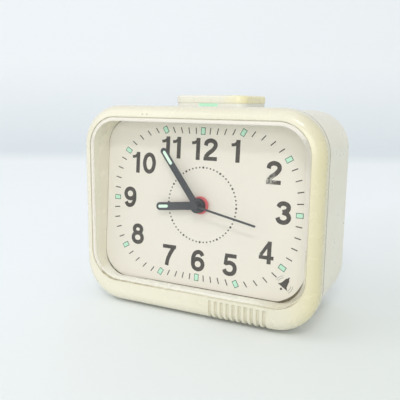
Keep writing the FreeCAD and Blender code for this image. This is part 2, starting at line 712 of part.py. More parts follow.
def make_lens():
    """Clear window with a locating rim behind it."""
    piece = Piece("lens", case_frame())
    back = "(front_reach - lens_sink - lens_thick)"
    pane = piece.outline(back)
    pane.rounded(*LENS, "0", "window_rise")
    piece.pad(pane, "lens_thick")
    piece.round_edges("lens_edge", flat_edge_at(size("front_reach - lens_sink")))
    rim = piece.outline(f"{back} - lens_rim_depth")
    rim.rounded("window_width - 2 * lens_gap", "window_height - 2 * lens_gap",
                "window_corner - lens_gap", "0", "window_rise")
    rim.rounded("window_width - 2 * lens_gap - 2 * lens_rim", "window_height - 2 * lens_gap - 2 * lens_rim",
                "window_corner - lens_gap - lens_rim", "0", "window_rise")
    piece.pad(rim, "lens_rim_depth")


def make_rear_case():
    """Rear case: shell, tongue, screw towers, button opening, well, bay and slots."""
    piece = Piece("rear_case", case_frame())
    width, height = "(case_width - 2 * case_inset)", "(case_height - 2 * case_inset)"
    corner = "(case_corner - case_inset)"
    block = piece.outline(BACK)
    block.rounded(width, height, corner, "0", "0 - dial_rise")
    piece.pad(block, "case_depth")
    piece.round_edges("case_roll", flat_edge_at(size(BACK)))
    hollow = piece.outline(PART_LINE)
    hollow.rounded(f"{width} - 2 * case_wall", f"{height} - 2 * case_wall",
                   f"{corner} - case_wall", "0", "0 - dial_rise")
    piece.cut(hollow, "case_depth - case_wall")
    fit = "(bezel_wall + joint_gap)"
    tongue = piece.outline(PART_LINE)
    tongue.rounded(f"case_width - 2 * {fit}", f"case_height - 2 * {fit}", f"case_corner - {fit}",
                   "0", "0 - dial_rise")
    tongue.rounded(f"case_width - 2 * {fit} - 2 * tongue_wall", f"case_height - 2 * {fit} - 2 * tongue_wall",
                   f"case_corner - {fit} - tongue_wall", "0", "0 - dial_rise")
    piece.pad(tongue, "tongue_length")
    add_clamping_ribs(piece)
    add_back_features(piece)
    towers = piece.outline(f"{BACK} + case_wall / 2")
    for side in ("", "0 - "):
        towers.circle("tower_radius", f"{side}screw_x", SCREW_Y)
    piece.pad(towers, "case_depth - case_wall / 2")
    access = piece.outline(f"{PART_LINE} - screw_seat")
    shank = piece.outline(f"{PART_LINE} + {PAST}")
    for side in ("", "0 - "):
        access.circle("screw_head + 2 * bore_gap", f"{side}screw_x", SCREW_Y)
        shank.circle("screw_radius + bore_gap", f"{side}screw_x", SCREW_Y)
    piece.cut(access, "case_depth")
    piece.cut(shank, f"screw_seat + 2 * {PAST}")
    opening = piece.outline(f"0 - {CASE_TOP} + 2 * case_wall", "XZ_Plane")
    opening.rounded("button_width - 2 * stem_inset + 2 * slide_gap",
                    "button_depth - 2 * stem_inset + 2 * slide_gap",
                    "button_corner - stem_inset + slide_gap", "0", "0 - button_behind")
    piece.cut(opening, "3 * case_wall")
    for z in (FRONT_FEET, BACK_FEET):
        sockets = piece.outline(f"0 - {CASE_BOTTOM} - foot_sink", "XZ_Plane")
        for side in ("", "0 - "):
            sockets.circle("foot_radius + bore_gap", f"{side}foot_x", z)
        piece.cut(sockets, "2 * foot_sink", reverse=True)


def add_clamping_ribs(piece):
    """Ribs on the side walls that press the dial plate against the tunnel."""
    outer = "(case_width / 2 - case_inset - case_wall + clamp_root)"
    inner = "(window_width / 2 + carrier_margin - clamp_grip)"
    for way in ("", "0 - "):
        height = f"({way}clamp_rise)"
        reach = f"(0 - tan(dial_lean) * ({height} + clamp_width / 2) - {DIAL_BACK} / cos(dial_lean) - joint_gap)"
        ribs = piece.outline(f"{reach} - clamp_length")
        for side in ("", "0 - "):
            ribs.rectangle(f"{outer} - {inner}", "clamp_width", f"{side}(({outer} + {inner}) / 2)", height)
        piece.pad(ribs, "clamp_length")


def add_back_features(piece):
    """Knob well, battery bay, sounder ring and sound slots in the back wall."""
    well_floor = f"({BACK} + well_depth)"
    well = piece.outline(BACK)
    well.rounded("well_width + 2 * well_wall", "well_height + 2 * well_wall", "well_corner + well_wall",
                 "well_x", "0 - well_drop")
    piece.pad(well, "well_depth + well_wall")
    bay = piece.outline(BACK)
    bay.rounded(f"{BAY_WIDTH} + 2 * bay_wall + 2 * door_margin", f"{BAY_HEIGHT} + 2 * bay_wall",
                "door_corner", "0", "0 - bay_drop")
    piece.pad(bay, f"{BAY_DEPTH} + bay_wall")
    ring = piece.outline(f"{BACK} + case_wall / 2")
    ring.circle("sounder_radius + bore_gap + sounder_wall", "0 - sounder_x", "sounder_rise")
    ring.circle("sounder_radius + bore_gap", "0 - sounder_x", "sounder_rise")
    piece.pad(ring, "case_wall / 2 + sounder_thick - sounder_hold")
    inside = piece.outline(well_floor)
    inside.rounded("well_width", "well_height", "well_corner", "well_x", "0 - well_drop")
    piece.cut(inside, f"well_depth + {PAST}")
    knob_holes = piece.outline(f"{well_floor} + well_wall + {PAST}")
    for place in (TIME_SET, ALARM_SET):
        x, y = knob_hole_place(place)
        knob_holes.circle("knob_hole", x, y)
    piece.cut(knob_holes, f"well_wall + 2 * {PAST}")
    room = piece.outline(f"{BACK} + {BAY_DEPTH}")
    room.rounded(BAY_WIDTH, BAY_HEIGHT, "door_corner - door_margin / 2", "0", "0 - bay_drop")
    piece.cut(room, f"{BAY_DEPTH} + {PAST}")
    rebate = piece.outline(f"{BACK} + door_thick + door_gap")
    rebate.rounded(f"{BAY_WIDTH} + 2 * door_margin", f"{BAY_HEIGHT} + 2 * door_margin", "door_corner",
                   "0", "0 - bay_drop")
    piece.cut(rebate, f"door_thick + door_gap + {PAST}")
    slot = piece.outline(f"{BACK} + case_wall + {PAST}")
    slot.rounded("slot_length", "slot_width", "slot_round", "0 - sounder_x",
                 "sounder_rise - slot_pitch * (slot_count - 1) / 2")
    feature = piece.cut(slot, f"case_wall + 2 * {PAST}")
    piece.repeat_along(feature, "Y_Axis", "slot_pitch * (slot_count - 1)", "slot_count")


def knob_hole_place(place):
    """Where a leaning arbor crosses the floor of the knob well."""
    depth = f"(0 - {BACK} - well_depth - well_wall / 2)"
    return place[0], f"({place[1]} / cos(dial_lean) - {depth} * tan(dial_lean))"


def make_case_screws():
    """Two pan-head screws from the towers into the bezel's bosses."""
    piece = Piece("case_screws", case_frame())
    seat = f"({PART_LINE} - screw_seat)"
    heads = piece.outline(f"{seat} - screw_head_height")
    shanks = piece.outline(seat)
    for side in ("", "0 - "):
        heads.circle("screw_head", f"{side}screw_x", SCREW_Y)
        shanks.circle("screw_radius", f"{side}screw_x", SCREW_Y)
    piece.pad(heads, "screw_head_height")
    piece.pad(shanks, "screw_seat + screw_grip")
    cross = piece.outline(f"{seat} - screw_head_height / 2")
    for side in ("", "0 - "):
        cross.rectangle("2 * screw_head + screw_radius", "driver_slot", f"{side}screw_x", SCREW_Y)
    piece.cut(cross, "screw_head_height")


def make_rubber_feet():
    """Four rubber pads let into the underside."""
    piece = Piece("rubber_feet", case_frame())
    for z in (FRONT_FEET, BACK_FEET):
        pads = piece.outline(f"0 - {CASE_BOTTOM} - foot_sink", "XZ_Plane")
        for side in ("", "0 - "):
            pads.circle("foot_radius", f"{side}foot_x", z)
        piece.pad(pads, "floor_gap + case_inset + foot_sink")


# --------------------------------------------------------- button and battery

def make_button_cap():
    """Yellowed cap that the hand presses."""
    piece = Piece("alarm_button_cap", button_frame())
    cap = piece.outline("0")
    cap.rounded("button_width", "button_depth", "button_corner")
    piece.pad(cap, "cap_thick")
    piece.round_edges("cap_edge", flat_edge_at(size("cap_thick")))


def make_button_stem():
    """Hollow white stem with a stop flange and a pocket for the flag."""
    piece = Piece("alarm_button_stem", button_frame())
    width, depth = "(button_width - 2 * stem_inset)", "(button_depth - 2 * stem_inset)"
    corner = "(button_corner - stem_inset)"
    stem = piece.outline("0 - stem_length")
    stem.rounded(width, depth, corner)
    piece.pad(stem, "stem_length")
    stop = "(0 - button_proud - case_wall - slide_gap)"
    flange = piece.outline(f"{stop} - flange_thick")
    flange.rounded(f"{width} + 2 * flange_reach", depth, corner)
    piece.pad(flange, "flange_thick")
    hollow = piece.outline("0 - stem_wall")
    hollow.rounded(f"{width} - 2 * stem_wall", f"{depth} - 2 * stem_wall", f"{corner} - stem_wall")
    piece.cut(hollow, "stem_length")
    pocket = piece.outline("0 - joint_gap")
    pocket.rectangle("flag_width", "2 * flag_thick", "0", f"0 - {depth} / 2")
    piece.cut(pocket, "flag_height")


def make_alarm_flag():
    """Green flag that shows when the button is up."""
    piece = Piece("alarm_flag", button_frame())
    flag = piece.outline("0 - joint_gap - flag_height")
    depth = "(button_depth - 2 * stem_inset)"
    flag.rectangle("flag_width", "flag_thick", "0", f"flag_thick / 2 - {depth} / 2")
    piece.pad(flag, "flag_height")


def make_button_chassis():
    """Bracket under the button, standing on the case's top wall."""
    piece = Piece("button_chassis", case_frame())
    top = f"({CASE_TOP} - case_wall)"
    low = f"({top} - chassis_height)"
    shape = piece.outline("0 - button_behind - chassis_depth / 2")
    half = f"{CHASSIS_WIDTH} / 2"
    shape.polygon([(f"0 - {half}", low), (half, low), (half, top), (f"{half} - chassis_wall", top),
                   (f"{half} - chassis_wall", f"{low} + chassis_wall"),
                   (f"chassis_wall - {half}", f"{low} + chassis_wall"),
                   (f"chassis_wall - {half}", top), (f"0 - {half}", top)])
    piece.pad(shape, "chassis_depth")


def make_button_spring():
    """Bowed strip that lifts the button off its bracket."""
    piece = Piece("button_spring", case_frame())
    low = BRACKET_FLOOR
    high = f"({BUTTON_UP} - stem_wall - joint_gap)"
    strip = piece.outline("0 - button_behind - spring_width / 2")
    half, foot, crest, slope = f"{SPRING_SPAN} / 2", "spring_foot", "spring_crest", "spring_strip / 2"
    right = [(crest, f"{high} - spring_strip"), (f"{half} - {foot}", low), (half, low),
             (half, f"{low} + spring_strip"), (f"{half} - {foot} + {slope}", f"{low} + spring_strip"),
             (f"{crest} + {slope}", high)]
    strip.polygon(right + [(f"0 - ({x})", y) for x, y in reversed(right)])
    piece.pad(strip, "spring_width")


def make_alarm_switch():
    """Two leaves on the bracket's floor, under one side wall of the stem."""
    start = "0 - button_behind - switch_behind - switch_width / 2"
    low, strip = BRACKET_FLOOR, "switch_strip"
    left, right = f"(0 - {STEM_WALL} - switch_tip)", f"(switch_tip - {STEM_WALL})"
    top, foot = f"({low} + switch_lift)", f"({right} + switch_slope)"
    upper = Piece("switch_leaf", case_frame())
    leaf = upper.outline(start)
    leaf.polygon([(left, f"{top} - {strip}"), (right, f"{top} - {strip}"), (foot, low),
                  (f"{foot} + switch_foot", low), (f"{foot} + switch_foot", f"{low} + {strip}"),
                  (f"{foot} + {strip} / 2", f"{low} + {strip}"), (f"{right} + {strip} / 2", top), (left, top)])
    upper.pad(leaf, "switch_width")
    lower = Piece("switch_contact", case_frame())
    rest = lower.outline(start)
    shelf = f"({low} + contact_lift)"
    rest.polygon([(right, f"{shelf} - {strip}"), (right, shelf), (left, shelf), (left, f"{low} + {strip}"),
                  (f"{left} - switch_foot / 2", f"{low} + {strip}"), (f"{left} - switch_foot / 2", low),
                  (f"{left} + {strip}", low), (f"{left} + {strip}", f"{shelf} - {strip}")])
    lower.pad(rest, "switch_width")


def make_battery_door():
    """Flush door over the battery bay with a grip groove."""
    piece = Piece("battery_door", case_frame())
    door = piece.outline(BACK)
    door.rounded(f"{BAY_WIDTH} + 2 * door_margin - 2 * door_gap",
                 f"{BAY_HEIGHT} + 2 * door_margin - 2 * door_gap",
                 "door_corner - door_gap", "0", "0 - bay_drop")
    piece.pad(door, "door_thick")
    grip = piece.outline(f"{BACK} + grip_sink")
    grip.rectangle("grip_length", "grip_width", "0", "0 - bay_drop - grip_drop")
    feature = piece.cut(grip, PAST)
    piece.repeat_along(feature, "Y_Axis", "grip_pitch * (grip_count - 1)", "grip_count")


def make_battery_cell():
    """AA cell lying across the bay."""
    place = case_frame().multiply(FreeCAD.Placement(
        Vector(0, -size("bay_drop"), size(CELL_LEVEL)),
        FreeCAD.Rotation(Vector(0, 1, 0), 90)))
    piece = Piece("battery_cell", place)
    body = piece.outline("0 - cell_length / 2")
    body.circle("cell_radius")
    piece.pad(body, "cell_length")
    cap = piece.outline("cell_length / 2")
    cap.circle("cell_cap_radius")
    piece.pad(cap, "cell_cap")


def make_battery_contacts():
    """Flat positive contact and bent negative contact at the bay's ends."""
    plus = Piece("positive_contact", case_frame())
    plate = plus.outline(f"{CELL_LEVEL} - contact_height / 2")
    reach = "(cell_length / 2 + cell_cap)"
    plate.rectangle("contact_thick", "contact_width", f"{reach} + contact_thick / 2", "0 - bay_drop")
    plus.pad(plate, "contact_height")
    tail = plus.outline(f"{CELL_LEVEL} - contact_tab / 2")
    span = f"({BAY_WIDTH} / 2 - {reach})"
    tail.rectangle(span, "contact_width", f"{reach} + {span} / 2", "0 - bay_drop")
    plus.pad(tail, "contact_tab")
    minus = Piece("negative_contact", case_frame())
    strip = minus.outline(f"{CELL_LEVEL} - strip_height / 2")
    wall, end, sheet = f"(0 - {BAY_WIDTH} / 2)", "(0 - cell_length / 2)", "contact_thick"
    foot, tip = "(0 - bay_drop - strip_foot)", "(strip_tip - bay_drop)"
    low, high = "(0 - bay_drop - strip_half)", "(strip_half - bay_drop)"
    strip.polygon([(wall, low), (f"{wall} + {sheet}", low), (f"{wall} + {sheet}", foot), (end, tip),
                   (end, f"{tip} + 2 * {sheet}"), (f"{wall} + {sheet}", f"{tip} + strip_fall"),
                   (f"{wall} + {sheet}", high), (wall, high)])
    minus.pad(strip, "strip_height")


def make_sounder():
    """Sounder capsule in its ring behind the slots."""
    piece = Piece("sounder", case_frame())
    disc = piece.outline(f"{BACK} + case_wall")
    disc.circle("sounder_radius", "0 - sounder_x", "sounder_rise")
    piece.pad(disc, "sounder_thick")
    terminals = piece.outline(f"{BACK} + case_wall + sounder_thick")
    for side in ("", "0 - "):
        terminals.circle("terminal_radius", f"{side}terminal_x - sounder_x", "sounder_rise")
    piece.pad(terminals, "terminal_length")


# ------------------------------------------------------------ dial and plates

def make_dial():
    """Printed sheet and the moulded plate that carries it."""
    for label, margin, level, thick in (("dial_face", "face_margin", "(0 - face_thick)", "face_thick"),
                                        ("dial_plate", "carrier_margin", f"(0 - {DIAL_BACK})", "carrier_thick")):
        piece = Piece(label, dial_frame())
        sheet = piece.outline(level)
        sheet.rounded(f"window_width + 2 * {margin}", f"window_height + 2 * {margin}",
                      f"window_corner + {margin}", "0", "window_rise")
        sheet.circle("dial_bore")
        piece.pad(sheet, thick)


def make_movement_plate():
    """Front plate of the movement with the bush for the hands and a post."""
    piece = Piece("movement_front_plate", dial_frame())
    x = "((movement_right - movement_left) / 2)"
    y = "((movement_top - movement_bottom) / 2)"
    plate = piece.outline(f"0 - {PLATE_BACK}")
    plate.rounded("movement_left + movement_right", "movement_top + movement_bottom", "movement_corner", x, y)
    piece.pad(plate, "plate_thick")
    bush = piece.outline(f"0 - {DIAL_BACK}")
    bush.circle("dial_bore - bore_gap")
    piece.pad(bush, f"{DIAL_BACK} + bush_proud")
    post = piece.outline(f"0 - minute_level - dial_wheel_thick - side_gap")
    post.circle("post_radius", *MINUTE)
    piece.pad(post, f"minute_level + dial_wheel_thick + side_gap - {PLATE_BACK}")
    bore(piece, f"{ALARM_TUBE} + running_gap")
    leaf_post = piece.outline(f"0 - {LEAF_FRONT}")
    leaf_post.circle("leaf_post", *LEAF_POST)
    piece.pad(leaf_post, f"{LEAF_FRONT} - {PLATE_BACK}")
    leaf_pin = piece.outline(f"0 - {LEAF_FRONT} - 2 * alarm_leaf_thick")
    leaf_pin.circle("leaf_pin", *LEAF_POST)
    piece.pad(leaf_pin, "2 * alarm_leaf_thick")
    pivots = piece.outline(f"0 - {PLATE_BACK} + pivot_sink")
    for place in (THIRD, INTERMEDIATE, ROTOR, TIME_SET, ALARM_SET):
        pivots.circle("pivot_radius + running_gap", *place)
    piece.cut(pivots, f"pivot_sink + {PAST}")


def make_alarm_leaf():
    """Flat spring behind the hour wheel, riveted to its post."""
    piece = Piece("alarm_leaf", dial_frame())
    strip = piece.outline(f"0 - {LEAF_FRONT} - alarm_leaf_thick")
    ends = (polar("(0 - alarm_leaf_end)", "alarm_leaf_way"),
            polar("(alarm_leaf_reach + alarm_leaf_end)", "alarm_leaf_way"))
    half, aside = "(alarm_leaf_width / 2)", "(alarm_leaf_way + 90)"
    near, far = ends
    strip.polygon([polar(half, aside, near), polar(f"(0 - {half})", aside, near),
                   polar(f"(0 - {half})", aside, far), polar(half, aside, far)])
    strip.circle("alarm_leaf_hole")
    strip.circle("leaf_pin + joint_gap / 2", *LEAF_POST)
    piece.pad(strip, "alarm_leaf_thick")


def make_movement_box():
    """Open box that closes the movement from behind, with pivot holes."""
    piece = Piece("movement_rear_cover", dial_frame())
    x = "((movement_right - movement_left) / 2)"
    y = "((movement_top - movement_bottom) / 2)"
    wide, tall = "(movement_left + movement_right)", "(movement_top + movement_bottom)"
    block = piece.outline(f"0 - {BOX_BACK}")
    block.rounded(wide, tall, "movement_corner", x, y)
    piece.pad(block, f"{BOX_BACK} - {PLATE_BACK}")
    inside = piece.outline(f"0 - {PLATE_BACK}")
    inside.rounded(f"{wide} - 2 * box_wall", f"{tall} - 2 * box_wall", "movement_corner - box_wall", x, y)
    piece.cut(inside, f"{BOX_BACK} - {PLATE_BACK} - box_wall")
    posts = piece.outline(f"0 - {BOX_BACK} + box_wall / 2")
    for place in corner_places():
        posts.circle("corner_post", *place)
    piece.pad(posts, f"{BOX_BACK} - {PLATE_BACK} - box_wall / 2")
    stands = piece.outline(f"0 - {BOX_BACK} + box_wall / 2")
    for side in ("-", "+"):
        stands.circle("board_post", f"0 - board_x {side} (board_width / 2 - board_inset)", "board_rise")
    piece.pad(stands, f"{BOX_BACK} - box_wall / 2 - board_level - board_thick")
    arbors = piece.outline(f"0 - {BOX_BACK} + box_wall + {PAST}")
    for place in (TIME_SET, ALARM_SET):
        arbors.circle("set_stub + running_gap", *place)
    piece.cut(arbors, f"box_wall + 2 * {PAST}")
    pivots = piece.outline(f"0 - {BOX_BACK} + box_wall + {PAST}")
    for place in (CENTRE, THIRD, INTERMEDIATE, ROTOR):
        pivots.circle("pivot_radius + running_gap", *place)
    piece.cut(pivots, f"pivot_sink + pivot_play + {PAST}")
    screw_holes = piece.outline("0")
    for place in corner_places():
        screw_holes.circle("small_screw + bore_gap", *place)
    piece.cut(screw_holes, f"{BOX_BACK} + {PAST}")


def corner_places():
    """Corners of the movement where its screws stand."""
    inset = "(box_wall + corner_inset)"
    return [(f"({side_x})", f"({side_y})")
            for side_x in (f"{inset} - movement_left", f"movement_right - {inset}")
            for side_y in (f"{inset} - movement_bottom", f"movement_top - {inset}")]


def make_movement_screws():
    """Four screws through the box's corner posts into the dial plate."""
    piece = Piece("movement_screws", dial_frame())
    heads = piece.outline(f"0 - {BOX_BACK} - small_head_height")
    shanks = piece.outline(f"0 - {BOX_BACK}")
    for place in corner_places():
        heads.circle("small_head", *place)
        shanks.circle("small_screw", *place)
    piece.pad(heads, "small_head_height")
    piece.pad(shanks, f"{BOX_BACK} - {PLATE_BACK}")


# ----------------------------------------------------------------- the train

def arbor(piece, radius, low, high, place=CENTRE):
    """Plain round shaft between two levels given as formulas."""
    shaft = piece.outline(low)
    shaft.circle(radius, *place)
    return piece.pad(shaft, f"({high}) - ({low})")


def toothed(piece, module, count, phase, level, thick, place=CENTRE):
    """Toothed disc whose front lies at minus level."""
    ring = piece.outline(f"0 - ({level}) - ({thick})")
    ring.teeth(module, count, phase, *place)
    return piece.pad(ring, thick)


def bore(piece, radius, place=CENTRE):
    """Through hole for the shaft that the piece turns on."""
    hole = piece.outline("front_reach")
    hole.circle(radius, *place)
    return piece.cut(hole, f"front_reach + {BOX_BACK}")


PHASES = {"rotor": 0.0, "seconds_pinion": 0.0, "third_pinion": 0.0, "intermediate_pinion": 0.0,
          "cannon": 0.0, "minute_pinion": 0.0, "alarm": 0.0}


def make_going_train():
    """Rotor to seconds wheel to centre wheel, each on its own arbor."""
    back = f"0 - {BOX_BACK} + box_wall - pivot_sink"
    inner_back = f"0 - {BOX_BACK} + box_wall + side_gap"
    front = f"0 - {PLATE_BACK} + pivot_sink"
    inner_front = f"0 - {PLATE_BACK} - side_gap"

    pinion = Piece("rotor_pinion", dial_frame())
    toothed(pinion, "going_module", "leaves", PHASES["rotor"], "intermediate_level - leaf_over",
            "rotor_leaves", ROTOR)
    arbor(pinion, "arbor_radius", inner_back, inner_front, ROTOR)
    arbor(pinion, "pivot_radius", back, front, ROTOR)
    magnet = Piece("rotor_magnet", dial_frame())
    arbor(magnet, "magnet_radius", "0 - stator_level - stator_thick / 2 - magnet_length / 2",
          "0 - stator_level - stator_thick / 2 + magnet_length / 2", ROTOR)
    bore(magnet, "arbor_radius", ROTOR)

    wheel = Piece("intermediate_wheel", dial_frame())
    phase = meshing_phase(ROTOR, "leaves", PHASES["rotor"], INTERMEDIATE, "intermediate_teeth")
    toothed(wheel, "going_module", "intermediate_teeth", phase, "intermediate_level", "wheel_thick",
            INTERMEDIATE)
    toothed(wheel, "going_module", "leaves", PHASES["intermediate_pinion"], "seconds_level - leaf_over",
            "intermediate_level - seconds_level + leaf_over", INTERMEDIATE)
    arbor(wheel, "arbor_radius", inner_back, inner_front, INTERMEDIATE)
    arbor(wheel, "pivot_radius", back, front, INTERMEDIATE)

    seconds = Piece("seconds_wheel", dial_frame())
    phase = meshing_phase(INTERMEDIATE, "leaves", PHASES["intermediate_pinion"], CENTRE, "seconds_teeth")
    toothed(seconds, "going_module", "seconds_teeth", phase, "seconds_level", "wheel_thick")
    toothed(seconds, "third_module", "leaves", PHASES["seconds_pinion"], "third_level - leaf_over",
            "seconds_level - third_level + leaf_over")
    arbor(seconds, "arbor_radius", inner_back, "second_hand_height + hub_thick / 2")
    arbor(seconds, "pivot_radius", back, inner_back)

    third = Piece("third_wheel", dial_frame())
    phase = meshing_phase(CENTRE, "leaves", PHASES["seconds_pinion"], THIRD, "third_teeth")
    toothed(third, "third_module", "third_teeth", phase, "third_level", "wheel_thick", THIRD)
    toothed(third, CENTRE_MODULE, "leaves", PHASES["third_pinion"], "centre_level - leaf_over",
            "third_level - centre_level + leaf_over", THIRD)
    arbor(third, "arbor_radius", inner_back, inner_front, THIRD)
    arbor(third, "pivot_radius", back, front, THIRD)

    centre = Piece("centre_wheel", dial_frame())
    phase = meshing_phase(THIRD, "leaves", PHASES["third_pinion"], CENTRE, "centre_teeth")
    toothed(centre, CENTRE_MODULE, "centre_teeth", phase, "centre_level", "wheel_thick")
    bore(centre, f"{CANNON_TUBE} + running_gap")


def make_motion_work():
    """Cannon pinion, minute wheel, hour wheel and alarm wheel."""
    cannon = Piece("cannon_pinion", dial_frame())
    toothed(cannon, "motion_module", "cannon_leaves", PHASES["cannon"], "minute_level - cannon_over",
            "cannon_length")
    arbor(cannon, CANNON_TUBE, "0 - centre_level - wheel_thick - cannon_over", "minute_hand_height + hub_thick / 2")
    bore(cannon, "arbor_radius + running_gap")

    minute = Piece("minute_wheel", dial_frame())
    phase = meshing_phase(CENTRE, "cannon_leaves", PHASES["cannon"], MINUTE, "minute_teeth")
    toothed(minute, "motion_module", "minute_teeth", phase, "minute_level", "dial_wheel_thick", MINUTE)
    toothed(minute, HOUR_MODULE, "leaves", PHASES["minute_pinion"], "hour_level - cannon_over",
            "minute_level - hour_level + cannon_over", MINUTE)
    bore(minute, "post_radius + running_gap", MINUTE)

    hour = Piece("hour_wheel", dial_frame())
    hour_phase = meshing_phase(MINUTE, "leaves", PHASES["minute_pinion"], CENTRE, "hour_teeth")
    toothed(hour, HOUR_MODULE, "hour_teeth", hour_phase, "hour_level", "dial_wheel_thick")
    arbor(hour, HOUR_TUBE, "0 - hour_level - dial_wheel_thick", "hour_hand_height + hub_thick / 2")
    bore(hour, HOUR_BORE)

    alarm = Piece("alarm_wheel", dial_frame())
    toothed(alarm, "alarm_module", "alarm_teeth", PHASES["alarm"], "alarm_level", "dial_wheel_thick")
    arbor(alarm, ALARM_TUBE, "0 - alarm_level - dial_wheel_thick", "alarm_hand_height + hub_thick / 2")
    bore(alarm, ALARM_BORE)
    return phase


def make_setting_gears(minute_phase):
    """Arbors that reach the back, and the fluted knobs on them."""
    alarm_phase = meshing_phase(CENTRE, "alarm_teeth", PHASES["alarm"], ALARM_SET, "alarm_set_teeth")
    time_phase = meshing_phase(MINUTE, "minute_teeth", minute_phase, TIME_SET, "time_set_teeth")
    for label, place, module, count, level, phase in (
            ("alarm_set_gear", ALARM_SET, "alarm_module", "alarm_set_teeth", "alarm_level", alarm_phase),
            ("time_set_gear", TIME_SET, "motion_module", "time_set_teeth", "minute_level", time_phase)):
        gear = Piece(label, dial_frame())
        toothed(gear, module, count, phase, level, "dial_wheel_thick", place)
        arbor(gear, "set_arbor", f"0 - {BOX_BACK} + box_wall + side_gap", f"0 - {PLATE_BACK} - side_gap", place)
        arbor(gear, "set_stub", f"knob_floor - {KNOB_FRONT} - knob_head",
              f"0 - {BOX_BACK} + box_wall + side_gap", place)
        arbor(gear, "pivot_radius", f"0 - {PLATE_BACK} - side_gap", f"0 - {PLATE_BACK} + pivot_sink", place)
    for label, place in (("alarm_set_knob", ALARM_SET), ("time_set_knob", TIME_SET)):
        shift = FreeCAD.Placement(Vector(size(place[0]), size(place[1]), 0), FreeCAD.Rotation())
        knob = Piece(label, dial_frame().multiply(shift))
        arbor(knob, "knob_radius", f"0 - {KNOB_FRONT} - knob_head", f"0 - {KNOB_FRONT}")
        arbor(knob, "knob_hub", f"0 - {KNOB_FRONT}", f"knob_grip - {KNOB_FRONT}")
        flute = knob.outline(f"{PAST} - {KNOB_FRONT}")
        flute.circle("flute_radius", "knob_radius + flute_out", "0")
        feature = knob.cut(flute, f"knob_head + 2 * {PAST}")
        knob.repeat_round(feature, "knob_flutes")
        hole = knob.outline(f"knob_grip - {KNOB_FRONT} + {PAST}")
        hole.circle("set_stub")
        knob.cut(hole, f"knob_grip + knob_head - knob_floor + {PAST}")


# ------------------------------------------------------------------ the hands

def blade(width, length, hub, way):
    """Edges of a hand: parallel blade with a round tip, running into its hub."""
    half = width / 2
    turn = math.radians(90 - way)
    root = math.sqrt(max(hub * hub - half * half, 0.0))
    ahead = Vector(math.cos(turn), math.sin(turn), 0)
    aside = Vector(-math.sin(turn), math.cos(turn), 0)
    shoulder = length - half
    left_root, right_root = ahead * root + aside * half, ahead * root - aside * half
    left_tip, right_tip = ahead * shoulder + aside * half, ahead * shoulder - aside * half
    return [Part.LineSegment(right_root, right_tip), Part.Arc(right_tip, ahead * length, left_tip),
            Part.LineSegment(left_tip, left_root), Part.Arc(left_root, ahead * -hub, right_root)]


def lume_slot(start, end, width, way):
    """Edges of the slot in a blade that holds its luminous filling."""
    half = width / 2
    turn = math.radians(90 - way)
    ahead = Vector(math.cos(turn), math.sin(turn), 0)
    aside = Vector(-math.sin(turn), math.cos(turn), 0)
    near, far = ahead * (start + half), ahead * (end - half)
    return [Part.LineSegment(near - aside * half, far - aside * half),
            Part.Arc(far - aside * half, ahead * end, far + aside * half),
            Part.LineSegment(far + aside * half, near + aside * half),
            Part.Arc(near + aside * half, ahead * start, near - aside * half)]


def make_hand(name, tube, lume=True, capped=False):
    """A flat hand with a hub pressed on its tube, and its luminous filling."""
    piece = Piece(f"{name}_hand", dial_frame())
    way = size(f"{name}_hand_clock")
    height = f"{name}_hand_height"
    flat = piece.outline(height)
    flat.curve(blade(size(f"{name}_hand_width"), size(f"{name}_hand_length"), size(f"{name}_hub"), way))
    piece.pad(flat, "blade_thick")
    hub = piece.outline(f"{height} - hub_thick / 2 + blade_thick / 2")
    hub.circle(f"{name}_hub * hub_share")
    piece.pad(hub, "hub_thick")
    if capped:
        hole = piece.outline("0")
        hole.circle(tube)
        piece.cut(hole, f"{height} + hub_thick / 2", reverse=True)
    else:
        bore(piece, tube)
    if lume:
        ends = size(f"{name}_lume_from"), size(f"{name}_lume_to")
        slot = piece.outline(f"{height} + blade_thick")
        slot.curve(lume_slot(*ends, size("lume_width"), way))
        piece.cut(slot, "2 * blade_thick")
        filling = Piece(f"{name}_hand_lume", dial_frame())
        strip = filling.outline(height)
        strip.curve(lume_slot(*ends, size("lume_width"), way))
        filling.pad(strip, "blade_thick")


def make_hands():
    """Alarm, hour, minute and second hands, from the dial outwards."""
    make_hand("alarm", ALARM_TUBE, lume=False)
    make_hand("hour", HOUR_TUBE)
    make_hand("minute", CANNON_TUBE)
    make_hand("second", "arbor_radius", lume=False, capped=True)


# ----------------------------------------------------------------- the motor

